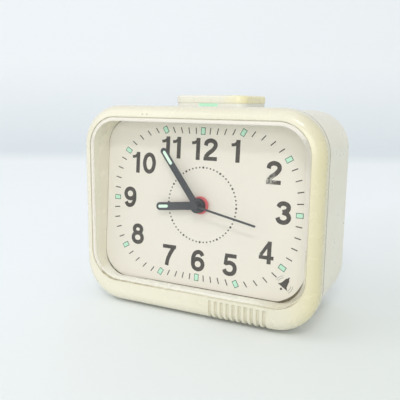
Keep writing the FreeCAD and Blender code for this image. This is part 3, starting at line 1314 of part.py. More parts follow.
def make_motor():
    """Stator, steel core across its legs, bobbin and winding."""
    left, thick = "(0 - coil_x)", "stator_thick"
    stator = Piece("stator", dial_frame())
    level = "0 - stator_level - stator_thick"
    ring = stator.outline(level)
    ring.circle("stator_ring", *ROTOR)
    stator.pad(ring, thick)
    rotor_x, rotor_y = ROTOR
    reach = "(coil_span / 2)"
    for sign in ("+", "-"):
        end = f"({rotor_y} {sign} {reach})"
        leg = stator.outline(level)
        outer = f"({end} {sign} stator_leg / 2)"
        inner = f"({outer} - (0 {sign} stator_leg))"
        clear = f"({left} + cheek_radius + 2 * side_gap)"
        neck = f"({rotor_y} {sign} stator_neck)"
        leg.polygon([(f"{left} - stator_leg / 2", inner), (clear, inner),
                     (f"{rotor_x} - stator_ring / 2", neck), (f"{rotor_x} + stator_ring / 2", neck),
                     (f"{clear} + {PAST}", outer), (f"{left} - stator_leg / 2", outer)])
        stator.pad(leg, thick)
    hole = stator.outline("0")
    hole.circle("stator_hole", *ROTOR)
    stator.cut(hole, BOX_BACK)
    axis_level = size("core_thick / 2 - stator_level")
    turn = FreeCAD.Rotation(Vector(1, 0, 0), -90)
    along = dial_frame().multiply(FreeCAD.Placement(Vector(size(left), size(rotor_y), axis_level), turn))
    core = Piece("coil_core", along)
    bar = core.outline("0 - coil_span / 2 - stator_leg / 2")
    bar.rectangle("core_width", "core_thick")
    core.pad(bar, "coil_span + stator_leg")
    inside = "(coil_span - stator_leg)"
    bobbin = Piece("coil_bobbin", along)
    tube = bobbin.outline(f"0 - {inside} / 2")
    tube.circle("bobbin_radius")
    bobbin.pad(tube, inside)
    for start in (f"0 - {inside} / 2", f"{inside} / 2 - cheek_thick"):
        cheek = bobbin.outline(start)
        cheek.circle("cheek_radius")
        bobbin.pad(cheek, "cheek_thick")
    window = bobbin.outline(f"{inside} / 2 + {PAST}")
    window.rectangle("core_width", "core_thick")
    bobbin.cut(window, f"{inside} + 2 * {PAST}")
    winding = Piece("coil_winding", along)
    wire = winding.outline(f"0 - {inside} / 2 + cheek_thick")
    wire.circle("coil_radius")
    wire.circle("bobbin_radius")
    winding.pad(wire, f"{inside} - 2 * cheek_thick")


def make_circuit():
    """Board with its chip and its crystal."""
    board = Piece("circuit_board", dial_frame())
    plate = board.outline("0 - board_level - board_thick")
    plate.rectangle("board_width", "board_height", "0 - board_x", "board_rise")
    board.pad(plate, "board_thick")
    chip = Piece("chip", dial_frame())
    blob = chip.outline("0 - board_level")
    blob.circle("chip_radius", "0 - board_x", "board_rise")
    chip.pad(blob, "chip_height")
    chip.round_edges("chip_round", flat_edge_at(size("0 - board_level + chip_height")))
    along = FreeCAD.Placement(
        Vector(-size("crystal_x"), size("board_rise"), size("0 - board_level + crystal_radius")),
        FreeCAD.Rotation(Vector(1, 0, 0), -90))
    crystal = Piece("quartz_crystal", dial_frame().multiply(along))
    arbor(crystal, "crystal_radius", "0 - crystal_length / 2", "crystal_length / 2")


def check_and_export():
    """Refuse failed features and shapes, then write one file per piece."""
    DOC.recompute()
    for item in DOC.Objects:
        if any(state in ("Invalid", "Error") for state in item.State):
            raise RuntimeError(f"{item.Name} failed: {item.State}")
    os.makedirs("parts", exist_ok=True)
    for body in Piece.made:
        shape = body.Shape
        if shape.isNull() or not shape.isValid() or not shape.Solids:
            raise RuntimeError(f"{body.Label} has no valid solid")
    for body in Piece.made:
        body.Shape.exportStep(f"parts/{body.Label}.step")
        print(f"{body.Label}: {len(body.Shape.Solids)} solid(s), {body.Shape.Volume:.1f} mm3")


def main():
    """Build the clock."""
    make_front_bezel()
    make_lens()
    make_rear_case()
    make_case_screws()
    make_rubber_feet()
    make_button_cap()
    make_button_stem()
    make_alarm_flag()
    make_button_chassis()
    make_button_spring()
    make_alarm_switch()
    make_battery_door()
    make_battery_cell()
    make_battery_contacts()
    make_sounder()
    make_dial()
    make_movement_plate()
    make_alarm_leaf()
    make_movement_box()
    make_movement_screws()
    make_going_train()
    minute_phase = make_motion_work()
    make_setting_gears(minute_phase)
    make_hands()
    make_motor()
    make_circuit()
    check_and_export()


main()
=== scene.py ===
"""Looks of a bedside quartz alarm clock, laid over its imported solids.

Every new surface is a grid worked out with numpy: loops round the case are
rounded rectangles, strokes of the numerals are ribbons along smooth paths, and
small prints are thin prisms.  Sizes of pieces are millimetres and become metres
where a mesh is placed; lengths in the finishes and the stage are metres.
"""
from __future__ import annotations

import json
import logging
import math
from dataclasses import dataclass, field, replace
from enum import Enum

import bpy
import numpy as np

from mathutils import Matrix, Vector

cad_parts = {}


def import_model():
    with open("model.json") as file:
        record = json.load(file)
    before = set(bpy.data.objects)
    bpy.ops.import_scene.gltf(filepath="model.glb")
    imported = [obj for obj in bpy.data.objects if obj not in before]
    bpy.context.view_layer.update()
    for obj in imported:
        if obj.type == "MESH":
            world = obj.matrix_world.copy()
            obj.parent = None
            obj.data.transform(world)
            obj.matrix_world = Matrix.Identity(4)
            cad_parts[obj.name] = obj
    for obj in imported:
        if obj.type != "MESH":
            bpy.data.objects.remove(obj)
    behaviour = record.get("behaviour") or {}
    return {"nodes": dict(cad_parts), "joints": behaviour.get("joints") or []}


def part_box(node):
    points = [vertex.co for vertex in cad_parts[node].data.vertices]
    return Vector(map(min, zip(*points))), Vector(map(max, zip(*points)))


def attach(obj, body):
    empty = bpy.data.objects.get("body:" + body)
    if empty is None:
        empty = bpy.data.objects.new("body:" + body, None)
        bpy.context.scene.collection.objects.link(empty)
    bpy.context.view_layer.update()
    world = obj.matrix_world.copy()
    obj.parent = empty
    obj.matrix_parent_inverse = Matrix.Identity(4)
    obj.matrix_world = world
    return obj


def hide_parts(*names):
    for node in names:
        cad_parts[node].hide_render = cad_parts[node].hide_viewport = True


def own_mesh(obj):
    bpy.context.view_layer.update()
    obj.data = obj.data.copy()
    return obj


LOG = logging.getLogger("alarm_clock")
MM = 0.001
QUARTER = math.pi / 2
Colour = tuple[float, float, float]
Place = tuple[float, float, float]
Pair = tuple[float, float]
Shape = tuple[float, float, float, float]
Skin = tuple[np.ndarray, np.ndarray]
Piece = bpy.types.Object
Socket = bpy.types.NodeSocket
Feeds = dict[str | int, Socket | float | tuple]


# --------------------------------------------------------------------- places

def unit(vector: np.ndarray) -> np.ndarray:
    """A vector over its own length."""
    return vector / np.linalg.norm(vector)


def plain(values: np.ndarray) -> tuple[float, ...]:
    """Numbers of an array as plain floats."""
    return tuple(float(v) for v in values)


def joint_line(joints: list[dict], name: str) -> tuple[np.ndarray, np.ndarray]:
    """Unit axis of a joint, and its place in metres."""
    joint = next(j for j in joints if j["name"] == name)
    return unit(np.array(joint["axis"], float)), np.array(joint["pos_m"], float)


@dataclass(frozen=True)
class ClockSpace:
    """Where the dial sits: its middle in the row frame, and how far it leans back."""

    centre: np.ndarray
    lean: float

    @classmethod
    def from_joint(cls, joints: list[dict], depth: float = 8.0) -> "ClockSpace":
        """Read the hands' axis: the minute hand's joint stands depth mm behind the dial's face."""
        axis, place = joint_line(joints, "minute_hand_turn")
        return cls(place - axis * depth * MM, math.atan2(-axis[2], axis[1]))

    def case(self, points: np.ndarray) -> np.ndarray:
        """Turn case points (right, up, forward) upright: forward becomes -y."""
        x, y, z = np.moveaxis(points * MM, -1, 0)
        return np.stack([x, -z, y], axis=-1) + self.centre

    def dial(self, points: np.ndarray) -> np.ndarray:
        """Lay dial points (right, up, out of the face) on the leaning dial."""
        x, y, z = np.moveaxis(points * MM, -1, 0)
        sine, cosine = math.sin(self.lean), math.cos(self.lean)
        return np.stack([x, y * sine - z * cosine, y * cosine + z * sine], axis=-1) + self.centre


# --------------------------------------------------------------------- meshes

class Ends(Enum):
    """How the first and last rows of a grid are closed."""

    FAN = "fan"
    JOINED = "joined"


def put_mesh(name: str, skin: Skin, crease: float = 35.0) -> Piece:
    """Fill a mesh from a skin, faces outwards, smooth up to a crease angle.

    Faces are turned round where the skin's volume, a sixth of the triple
    products of its triangles, is below nought.

    Args:
        name: name of the new object.
        skin: n x 3 places in metres and m x 4 corner numbers; a triangle repeats its last.
        crease: angle in degrees past which an edge stays sharp.

    Returns:
        The object, linked to the scene with its origin at the world's.
    """
    vertices, quads = skin
    a, b, c, d = (vertices[quads[:, i]] for i in range(4))
    is_triangle = quads[:, 2] == quads[:, 3]
    if np.sum(a * np.cross(c, d - b)) < 0:
        quads = np.where(is_triangle[:, None], quads[:, [1, 0, 2, 3]], quads[:, ::-1])
    totals = np.where(is_triangle, 3, 4)
    mesh = bpy.data.meshes.new(name)
    mesh.vertices.add(len(vertices))
    mesh.vertices.foreach_set("co", vertices.astype(np.float32).ravel())
    mesh.loops.add(int(totals.sum()))
    kept = quads[np.arange(4) < totals[:, None]]
    mesh.loops.foreach_set("vertex_index", kept.astype(np.int32))
    mesh.polygons.add(len(quads))
    mesh.polygons.foreach_set("loop_start", (np.cumsum(totals) - totals).astype(np.int32))
    mesh.polygons.foreach_set("use_smooth", np.ones(len(quads), bool))
    mesh.update(calc_edges=True)
    mesh.validate()
    mesh.set_sharp_from_angle(angle=math.radians(crease))
    piece = bpy.data.objects.new(name, mesh)
    bpy.context.scene.collection.objects.link(piece)
    return piece


def store(piece: Piece, name: str, values: np.ndarray) -> None:
    """Store a number on each vertex of a piece, under a name."""
    attribute = piece.data.attributes.new(name, "FLOAT", "POINT")
    attribute.data.foreach_set("value", values.ravel().astype(np.float32))


def grid_quads(rows: int, columns: int, wrap_rows: bool, wrap_columns: bool) -> np.ndarray:
    """Corner numbers of a grid's quads: each joins (i, j), (i, j+1), (i+1, j+1), (i+1, j).

    Args:
        rows: number of rows.
        columns: points in a row.
        wrap_rows: the last row meets the first.
        wrap_columns: each row closes on itself.

    Returns:
        m x 4 array.
    """
    i = np.arange(rows if wrap_rows else rows - 1)[:, None]
    j = np.arange(columns if wrap_columns else columns - 1)[None, :]
    below, beside = (i + 1) % rows, (j + 1) % columns
    return np.stack([i * columns + j, i * columns + beside, below * columns + beside,
                     below * columns + j], axis=-1).reshape(-1, 4)


def grid_solid(points: np.ndarray, ends: Ends) -> Skin:
    """Closed skin over a grid whose rows are closed loops.

    Args:
        points: rows x columns x 3.
        ends: FAN closes each end on its middle, JOINED meets last row and first.

    Returns:
        Vertices and quads.
    """
    rows, columns, _ = points.shape
    vertices = points.reshape(-1, 3)
    quads = grid_quads(rows, columns, ends is Ends.JOINED, True)
    if ends is Ends.FAN:
        middles = np.stack([points[0].mean(axis=0), points[-1].mean(axis=0)])
        first = np.arange(columns)
        second = (first + 1) % columns
        base = (rows - 1) * columns
        start, stop = np.full(columns, len(vertices)), np.full(columns, len(vertices) + 1)
        quads = np.concatenate([quads, np.stack([second, first, start, start], axis=1),
                                np.stack([base + first, base + second, stop, stop], axis=1)])
        vertices = np.concatenate([vertices, middles])
    return vertices, quads


def stack(parts: list[Skin]) -> Skin:
    """Put several skins in one: corner numbers shift by the vertices before them."""
    shifts = np.cumsum([0] + [len(v) for v, _ in parts[:-1]])
    return (np.concatenate([v for v, _ in parts]),
            np.concatenate([q + shift for (_, q), shift in zip(parts, shifts)]))


def even(steps: int, low: float = -1.0, high: float = 1.0) -> np.ndarray:
    """Even places from low to just below high."""
    return np.linspace(low, high, steps, endpoint=False)


def rows_of(shape: Shape, *pairs: Pair, least: float = 0.5) -> list[list[float]]:
    """Rows of a loft, one for each pair: the shape drawn in by an inset, at a level.

    Args:
        shape: width, height, corner radius and rise of a rounded rectangle.
        pairs: inset and level of each row.
        least: smallest corner radius.

    Returns:
        Width, height, corner radius, rise and level of each row.
    """
    width, height, corner, rise = shape
    return [[width - 2 * inset, height - 2 * inset, max(corner - inset, least), rise, level]
            for inset, level in pairs]


def bulge(reach: float, base: float, rise: float, angles: np.ndarray) -> list[Pair]:
    """Pairs round a convex quarter: inset = reach (1 - cos a), level = base + rise sin a."""
    return [(reach * (1 - math.cos(a)), base + rise * math.sin(a)) for a in angles]


def brim(reach: float, base: float, rise: float, angles: np.ndarray) -> list[Pair]:
    """Pairs round an edge: inset = reach (1 - sin a), level = base + rise (1 - cos a)."""
    return [(reach * (1 - math.sin(a)), base + rise * (1 - math.cos(a))) for a in angles]


@dataclass(frozen=True)
class RoundedPath:
    """Parameters of a rounded rectangle that all loops of one loft share.

    A point is the corner-centre box scaled by (ax, ay), plus the corner radius
    along the unit direction (ux, uy).
    """

    ax: np.ndarray
    ay: np.ndarray
    ux: np.ndarray
    uy: np.ndarray

    @classmethod
    def make(cls, bottom: np.ndarray, side_steps: int, corner_steps: int) -> "RoundedPath":
        """Sample the sides and corners, anticlockwise from the lower left.

        Args:
            bottom: places along the bottom side, from -1 to below 1.
            side_steps: steps along each other side.
            corner_steps: steps round each corner.

        Returns:
            The shared parameters.
        """
        side, turn = even(side_steps), even(corner_steps, 0.0, QUARTER)
        ones_b, ones_s, ones_c = (np.ones_like(run) for run in (bottom, side, turn))
        ax = [bottom, ones_c, ones_s, ones_c, -side, -ones_c, -ones_s, -ones_c]
        ay = [-ones_b, -ones_c, side, ones_c, ones_s, ones_c, -side, -ones_c]
        ways = [-QUARTER * ones_b, turn - QUARTER, 0 * side, turn, QUARTER * ones_s,
                turn + QUARTER, math.pi * ones_s, turn + math.pi]
        way = np.concatenate(ways)
        return cls(np.concatenate(ax), np.concatenate(ay), np.cos(way), np.sin(way))

    def loops(self, rows: np.ndarray) -> np.ndarray:
        """Loft the loops: x = ax (w/2 - r) + r ux, y = rise + ay (h/2 - r) + r uy.

        Args:
            rows: n x 5 table of width, height, corner radius, rise and level.

        Returns:
            n x points x 3 grid in case coordinates.
        """
        width, height, corner, rise, level = (rows[:, [i]] for i in range(5))
        x = self.ax * (width / 2 - corner) + corner * self.ux
        y = rise + self.ay * (height / 2 - corner) + corner * self.uy
        return np.stack([x, y, np.broadcast_to(level, x.shape)], axis=-1)


def eased(value: np.ndarray, start: float, over: float) -> np.ndarray:
    """Ease from 0 at start to 1 a stretch over further on: t squared times (3 - 2 t)."""
    t = np.clip((value - start) / over, 0.0, 1.0)
    return t * t * (3.0 - 2.0 * t)


def draw_in(loop: np.ndarray, depth: float = 2.7, across: Pair = (20.0, 41.0),
            down: Pair = (10.0, -20.0)) -> np.ndarray:
    """Draw a loop in at its lower right; its left half and upper side stay.

    Args:
        loop: points x 3 of one loop in case or dial coordinates.
        depth: how far it moves where the pull is full.
        across: x where the pull starts and where it is full.
        down: y where it starts and where it is full.

    Returns:
        The loop.
    """
    x, y = loop[:, 0], loop[:, 1]
    share = np.clip((x - across[0]) / (across[1] - across[0]), 0.0, 1.0)
    share = share * eased(-y, -down[0], down[0] - down[1])
    return loop - share[:, None] * np.array([depth, 0.0, 0.0])


def grid_normals(points: np.ndarray) -> np.ndarray:
    """Unit normals of a joined grid: the cross product of its two central differences."""
    along, around = (np.roll(points, -1, axis=i) - np.roll(points, 1, axis=i) for i in (0, 1))
    normal = np.cross(around, along)
    return normal / np.maximum(np.linalg.norm(normal, axis=-1, keepdims=True), 1e-12)


# ------------------------------------------------------------------ materials

class NodePen:
    """Adds and links the nodes of one tree."""

    def __init__(self, block: bpy.types.Material | bpy.types.World, kind: str) -> None:
        """Start on the emptied tree of a material or a world, with its output of that kind."""
        block.use_nodes = True
        self.nodes, self.links = block.node_tree.nodes, block.node_tree.links
        self.nodes.clear()
        self.output = self.nodes.new("ShaderNodeOutput" + kind)

    def feed(self, node: bpy.types.Node, feeds: Feeds) -> None:
        """Feed a node's inputs.

        Args:
            node: the node.
            feeds: for each input the socket that it is linked to, or its own value.
        """
        for key, value in feeds.items():
            socket = node.inputs[key]
            if isinstance(value, bpy.types.NodeSocket):
                self.links.new(value, socket)
            else:
                socket.default_value = (*value, 1.0) if socket.type == "RGBA" else value

    def add(self, kind: str, feeds: Feeds | None = None, operation: str = "") -> bpy.types.Node:
        """Add a node and feed it.

        Args:
            kind: its type, less the leading ShaderNode.
            feeds: what its inputs are fed with.
            operation: what it does, where it has a choice.

        Returns:
            The node.
        """
        node = self.nodes.new("ShaderNode" + kind)
        if operation:
            node.operation = operation
        self.feed(node, feeds or {})
        return node

    def maths(self, kind: str, first: Socket | float, second: Socket | float) -> Socket:
        """Result of one operation on two values."""
        return self.add("Math", {0: first, 1: second}, kind).outputs[0]

    def rays(self, first: str, *others: str) -> Socket:
        """Tell some kinds of ray from the rest.

        Args:
            first: a kind.
            others: more kinds.

        Returns:
            1 for rays of any of these kinds, else 0.
        """
        path = self.add("LightPath").outputs
        share = path[first]
        for kind in others:
            share = self.maths("MAXIMUM", share, path[kind])
        return share

    def show(self, share: Socket, first: bpy.types.Node, second: bpy.types.Node) -> None:
        """Show a mix of two shaders, by the second's share."""
        mix = self.add("MixShader", {0: share, 1: first.outputs[0], 2: second.outputs[0]})
        self.feed(self.output, {"Surface": mix.outputs[0]})


class ShaderPen(NodePen):
    """Draws one material about a Principled surface."""

    def __init__(self, name: str) -> None:
        """Start a material of that name."""
        self.material = bpy.data.materials.new(name)
        super().__init__(self.material, "Material")
        self.surface = self.add("BsdfPrincipled")
        self.feed(self.output, {"Surface": self.surface.outputs[0]})

    def point(self, stretch: Place = (1.0, 1.0, 1.0), shift: Place = (0.0, 0.0, 0.0)) -> Socket:
        """Object coordinates after a shift in metres and a stretch."""
        moves = {"Scale": stretch, "Location": tuple(-s * k for s, k in zip(shift, stretch))}
        place = self.add("TexCoord").outputs["Object"]
        return self.add("Mapping", {"Vector": place, **moves}).outputs["Vector"]

    def noise(self, scale: float, detail: float = 3.0, rough: float = 0.5,
              at: Socket | None = None) -> Socket:
        """Noise of so many blobs per metre, with detail octaves of strength rough."""
        feeds = {"Scale": scale, "Detail": detail, "Roughness": rough}
        return self.add("TexNoise", {"Vector": at or self.point(), **feeds}).outputs["Fac"]

    def spread(self, value: Socket, low: float, high: float, to_low: float = 0.0,
               to_high: float = 1.0) -> Socket:
        """Map low to high on to_low to to_high, held at the ends."""
        ends = {"From Min": low, "From Max": high, "To Min": to_low, "To Max": to_high}
        return self.add("MapRange", {"Value": value, **ends}).outputs["Result"]

    def patches(self, scale: float, detail: float, *ends: float) -> Socket:
        """Noise, spread by its ends."""
        return self.spread(self.noise(scale, detail), *ends)

    def part(self, axis: str) -> Socket:
        """One object coordinate."""
        return self.add("SeparateXYZ", {0: self.point()}).outputs[axis]

    def ramp(self, axis: str, *ends: float) -> Socket:
        """One object coordinate, spread by its ends."""
        return self.spread(self.part(axis), *ends)

    def times(self, first: Socket | float, second: Socket | float) -> Socket:
        """Product of two values."""
        return self.maths("MULTIPLY", first, second)

    def along(self, way: np.ndarray) -> Socket:
        """Distance of the object's point along a direction: their dot product."""
        feeds = {0: self.point(), 1: plain(way)}
        return self.add("VectorMath", feeds, "DOT_PRODUCT").outputs["Value"]

    def away(self, place: Place = (0.0, 0.0, 0.0)) -> Socket:
        """Distance of the object's point from a place."""
        return self.add("VectorMath", {0: self.point(shift=place)}, "LENGTH").outputs["Value"]

    def near(self, place: Place, reach: float) -> Socket:
        """Nearness to a place: 1 within three tenths of the reach, 0 past it."""
        return self.spread(self.away(place), reach * 0.3, reach, 1.0, 0.0)

    def blend(self, factor: Socket, first: Socket | Colour, second: Socket | Colour) -> Socket:
        """Mix two colours.

        Args:
            factor: share of the second.
            first: colour at 0.
            second: colour at 1.

        Returns:
            The mixed colour.
        """
        node = self.nodes.new("ShaderNodeMix")
        node.data_type = "RGBA"
        self.feed(node, {"Factor": factor, 6: first, 7: second})
        return node.outputs[2]

    def attribute(self, name: str) -> Socket:
        """A number stored on the piece's vertices."""
        node = self.add("Attribute")
        node.attribute_name = name
        return node.outputs["Fac"]

    def finish(self, colour: Socket, rough: Socket, height: Socket | None = None,
               depth: float = 0.0, strength: float = 1.0) -> bpy.types.Material:
        """Link colour, roughness and a bump to the surface.

        Args:
            colour: base colour.
            rough: roughness.
            height: bump height from 0 to 1.
            depth: metres that the full height stands for.
            strength: share of the bump that shows.

        Returns:
            The material.
        """
        self.feed(self.surface, {"Base Color": colour, "Roughness": rough})
        if height is not None and depth > 0.0:
            feeds = {"Distance": depth, "Strength": strength, "Height": height}
            self.feed(self.surface, {"Normal": self.add("Bump", feeds).outputs["Normal"]})
        return self.material


@dataclass(frozen=True)
class Finish:
    """A material of two near tones, made once under its name."""

    name: str
    tone: Colour
    aged: Colour

    def material(self) -> bpy.types.Material:
        """The material, painted when it is first asked for."""
        return bpy.data.materials.get(self.name) or self.paint(ShaderPen(self.name))

    def paint(self, pen: ShaderPen) -> bpy.types.Material:
        """Draw the material with its pen."""
        raise NotImplementedError(self.name)


@dataclass(frozen=True)
class Moulded(Finish):
    """Moulded plastic: the two tones in soft patches, and a fine skin."""

    rough: float = 0.35
    patch: float = 45.0
    grain: float = 3500.0
    grain_depth: float = 0.000002
    coat: float = 0.0
    coat_rough: float = 0.08
    ior: float = 1.49

    def tint(self, pen: ShaderPen) -> Socket:
        """Colour: the two tones mixed by broad noise."""
        return pen.blend(pen.patches(self.patch, 4.0, 0.35, 0.68), self.tone, self.aged)

    def paint(self, pen: ShaderPen) -> bpy.types.Material:
        """Draw tint, coat, patches of gloss and skin.

        Args:
            pen: the material's pen.

        Returns:
            The material.
        """
        pen.feed(pen.surface, {"IOR": self.ior, "Coat Weight": self.coat,
                               "Coat Roughness": self.coat_rough})
        skin = pen.noise(self.grain, 2.0)
        rough = pen.patches(self.patch * 4, 3.0, 0.3, 0.7, self.rough * 0.85, self.rough * 1.15)
        return pen.finish(self.tint(pen), rough, skin, self.grain_depth, 0.5)


@dataclass(frozen=True)
class AgedBezel(Moulded):
    """Cream plastic: yellowed and painted darker as shade on one side and low down there, with
    grime, painted shade in seams, painted light on walls, and scuffs.

    A pair with an axis in its name is where along it a tone or the coat changes.
    """

    # Tones: the first is yellowing plus painted shade on the +x side; the next two are grime plus
    # painted shade, the second darker; the fourth is painted shade low down and over the face's
    # end; the fifth is painted light on the window's walls.
    yellowed_shade: Colour = (0.67, 0.62, 0.40)
    grime_and_shade: Colour = (0.36, 0.32, 0.20)
    deep: Colour = (0.20, 0.145, 0.065)
    shade_tone: Colour = (0.68, 0.65, 0.52)
    pale: Colour = (0.90, 0.885, 0.82)
    yellowed_shade_x: Pair = (0.046, 0.0585)
    shade_x: Pair = (-0.015, 0.040)
    shade_z: Pair = (0.008, 0.030)
    shaded_end_x: Pair = (0.047, 0.053)
    most_shade: float = 0.9
    wall_y: Pair = (-0.0235, -0.0200)
    on_wall: float = 0.35
    coat_x: Pair = (0.0525, 0.0555)
    worn_coat: float = 0.3
    dirty_coat: float = 0.2
    scuffs: tuple[Place, ...] = ()
    scuff_size: float = 0.0007
    scuff_share: float = 0.55

    def tint(self, pen: ShaderPen) -> Socket:
        """Mix the tones over the cream, and thin the coat at the yellowed end and where the stored
        share is high.

        The darker tone, painted shade, comes in low down towards +x and over the end of the face,
        the yellowed one, yellowing plus painted shade, over that end; both are weaker on the side
        wall.  The stored share is grime plus painted shade from 0 to 1, darker painted shade and
        grime from 1 to 2, and painted light, a paler tone, below 0.

        Args:
            pen: the material's pen.

        Returns:
            The colour.
        """
        wall = pen.ramp("Y", *self.wall_y, 1.0, self.on_wall)
        # Painted shade: the darker tone low down towards +x and over the end of the face.
        low = pen.times(pen.ramp("Z", *self.shade_z, 1.0, 0.0),
                        pen.ramp("X", *self.shade_x, 0.0, self.most_shade))
        end = pen.times(pen.ramp("X", *self.shaded_end_x, 0.0, self.most_shade), wall)
        base = pen.blend(pen.maths("MAXIMUM", low, end), super().tint(pen), self.shade_tone)
        mottle = pen.times(pen.patches(25.0, 3.0, 0.3, 0.7, 0.75, 1.0), wall)
        # Yellowing plus painted shade on the +x side, weaker on the side wall.
        base = pen.blend(pen.times(pen.ramp("X", *self.yellowed_shade_x), mottle), base, self.yellowed_shade)
        # Stored share: grime plus painted shade from 0 to 2, painted light below 0.
        share = pen.attribute("grime_and_shade")
        coat = pen.times(pen.ramp("X", *self.coat_x, self.coat, self.coat * self.worn_coat),
                         pen.spread(share, 0.0, 1.0, 1.0, self.dirty_coat))
        pen.feed(pen.surface, {"Coat Weight": coat})
        # Grime plus painted shade, mottled, where the share runs to 1.
        groove = pen.times(share, pen.patches(400.0, 3.0, 0.35, 0.75, 0.5, 0.95))
        base = pen.blend(pen.spread(groove, 0.0, 1.0), base, self.grime_and_shade)
        # Darker from 1 to 2: painted shade in the parting line and low rib grooves, grime at the
        # lens's lower left.
        base = pen.blend(pen.spread(share, 1.0, 2.0), base, self.deep)
        # Painted light: below 0 the window's walls are painted paler.
        base = pen.blend(pen.spread(share, -1.0, 0.0, 1.0, 0.0), base, self.pale)
        for place in self.scuffs:
            rub = pen.times(pen.near(place, self.scuff_size), self.scuff_share)
            base = pen.blend(rub, base, self.grime_and_shade)
        return pen.blend(pen.patches(900.0, 2.0, 0.735, 0.76, 0.0, 0.45), base, self.grime_and_shade)


@dataclass(frozen=True)
class ClearPane(Finish):
    """Clear lens plastic that lamps shine through; its rim carries a pale painted highlight band,
    only its front polished.
    """

    # Colour of the painted highlight band on the rim, and how clear the band stays.
    glint_band: Colour = (0.85, 0.81, 0.74)
    passed: Colour = (0.98, 0.98, 0.97)
    ior: float = 1.01
    coat_rough: float = 0.02
    glint_clear: float = 0.25

    def paint(self, pen: ShaderPen) -> bpy.types.Material:
        """Draw glass for sight, less clear and paler at the rim as a painted highlight, that lamps
        shine straight through.

        Args:
            pen: the material's pen.

        Returns:
            The material.
        """
        # rim: share of the painted highlight band, less clear and paler.
        rim = pen.attribute("rim")
        clearness = pen.spread(rim, 0.0, 1.0, 1.0, self.glint_clear)
        pen.feed(pen.surface, {"IOR": self.ior, "Coat Roughness": self.coat_rough,
                               "Coat Weight": pen.attribute("gloss"),
                               "Transmission Weight": clearness})
        tint = pen.blend(pen.noise(30.0), self.tone, self.aged)
        pen.finish(pen.blend(rim, tint, self.glint_band), pen.patches(700.0, 4.0, 0.62, 0.8, 0.0, 0.03))
        clear = pen.add("BsdfTransparent", {"Color": self.passed})
        pen.show(pen.rays("Is Shadow Ray", "Is Diffuse Ray"), pen.surface, clear)
        return pen.material


@dataclass(frozen=True)
class Rubbed(Moulded):
    """Card or ink with one rubbed place, where another tone shows in fine streaks."""

    smudge: Place = (0.0, 0.0, 0.0)
    smudge_size: float = 0.0035
    rubbed: Colour = (0.56, 0.56, 0.53)
    strength: float = 0.35

    def tint(self, pen: ShaderPen) -> Socket:
        """Add the rub about its place to the two tones."""
        streaks = pen.patches(900.0, 5.0, 0.4, 0.62)
        share = pen.times(pen.near(self.smudge, self.smudge_size), streaks)
        return pen.blend(pen.times(share, self.strength), super().tint(pen), self.rubbed)


@dataclass(frozen=True)
class Metal(Finish):
    """Bare metal with a brushed or rolled grain along one axis."""

    rough: float = 0.3
    stretch: Place = (30.0, 1.0, 1.0)
    grain: float = 400.0
    grain_depth: float = 0.00001

    def paint(self, pen: ShaderPen) -> bpy.types.Material:
        """Draw the tones in patches, and the grain in gloss and bump.

        Args:
            pen: the material's pen.

        Returns:
            The material.
        """
        pen.feed(pen.surface, {"Metallic": 1.0})
        lines = pen.noise(self.grain, 3.0, 0.6, pen.point(self.stretch))
        tint = pen.blend(pen.patches(120.0, 4.0, 0.35, 0.7), self.tone, self.aged)
        rough = pen.spread(lines, 0.3, 0.7, self.rough * 0.7, self.rough * 1.3)
        return pen.finish(tint, rough, lines, self.grain_depth, 0.4)


@dataclass(frozen=True)
class Banded(Moulded):
    """A skin in bands across one axis, such as a cell's sleeve or a coil's turns."""

    axis: str = "X"
    period: float = 0.0003
    second: Colour = (0.5, 0.5, 0.5)
    edge: float | None = None
    edge_soft: float = 0.00005

    def tint(self, pen: ShaderPen) -> Socket:
        """Two colours split at an edge, or alternating with the period.

        Args:
            pen: the material's pen.

        Returns:
            The colour.
        """
        base, place = super().tint(pen), pen.part(self.axis)
        if self.edge is not None:
            share = pen.spread(place, self.edge - self.edge_soft, self.edge + self.edge_soft)
            return pen.blend(share, base, self.second)
        wave = pen.maths("SINE", pen.times(place, 2 * math.pi / self.period), 0.0)
        return pen.blend(pen.spread(wave, -1.0, 1.0), base, self.second)


def dress(piece: Piece, material: bpy.types.Material) -> None:
    """Give every slot of a piece one material.

    Args:
        piece: the piece.
        material: its material.
    """
    if not piece.data.materials:
        piece.data.materials.append(material)
    for slot in piece.material_slots:
        slot.material = material


def settle(piece: Piece, body: str, finish: Finish, slot: str, *stands_for: str) -> None:
    """Dress a new piece, let it ride on its body and hide the solids it stands for.

    Args:
        piece: the new piece.
        body: body that carries it.
        finish: its finish.
        slot: the record's slot of that finish; not used.
        stands_for: solids that it replaces.
    """
    dress(piece, finish.material())
    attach(piece, body)
    if stands_for:
        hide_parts(*stands_for)
    LOG.info("made %s: %d faces on %s", piece.name, len(piece.data.polygons), body)


# -------------------------------------------------------------- the finishes

CREAM = AgedBezel("bezel_cream", (0.76, 0.725, 0.59), (0.73, 0.695, 0.545), 0.26, coat=0.5,
                  grain_depth=0.0)
CASE = Moulded("case_ivory", (0.79, 0.755, 0.635), (0.775, 0.735, 0.61), 0.32, coat=0.15,
               grain_depth=0.0)
DOOR = Moulded("door_ivory", (0.79, 0.775, 0.71), (0.76, 0.74, 0.65), 0.32, coat=0.15)
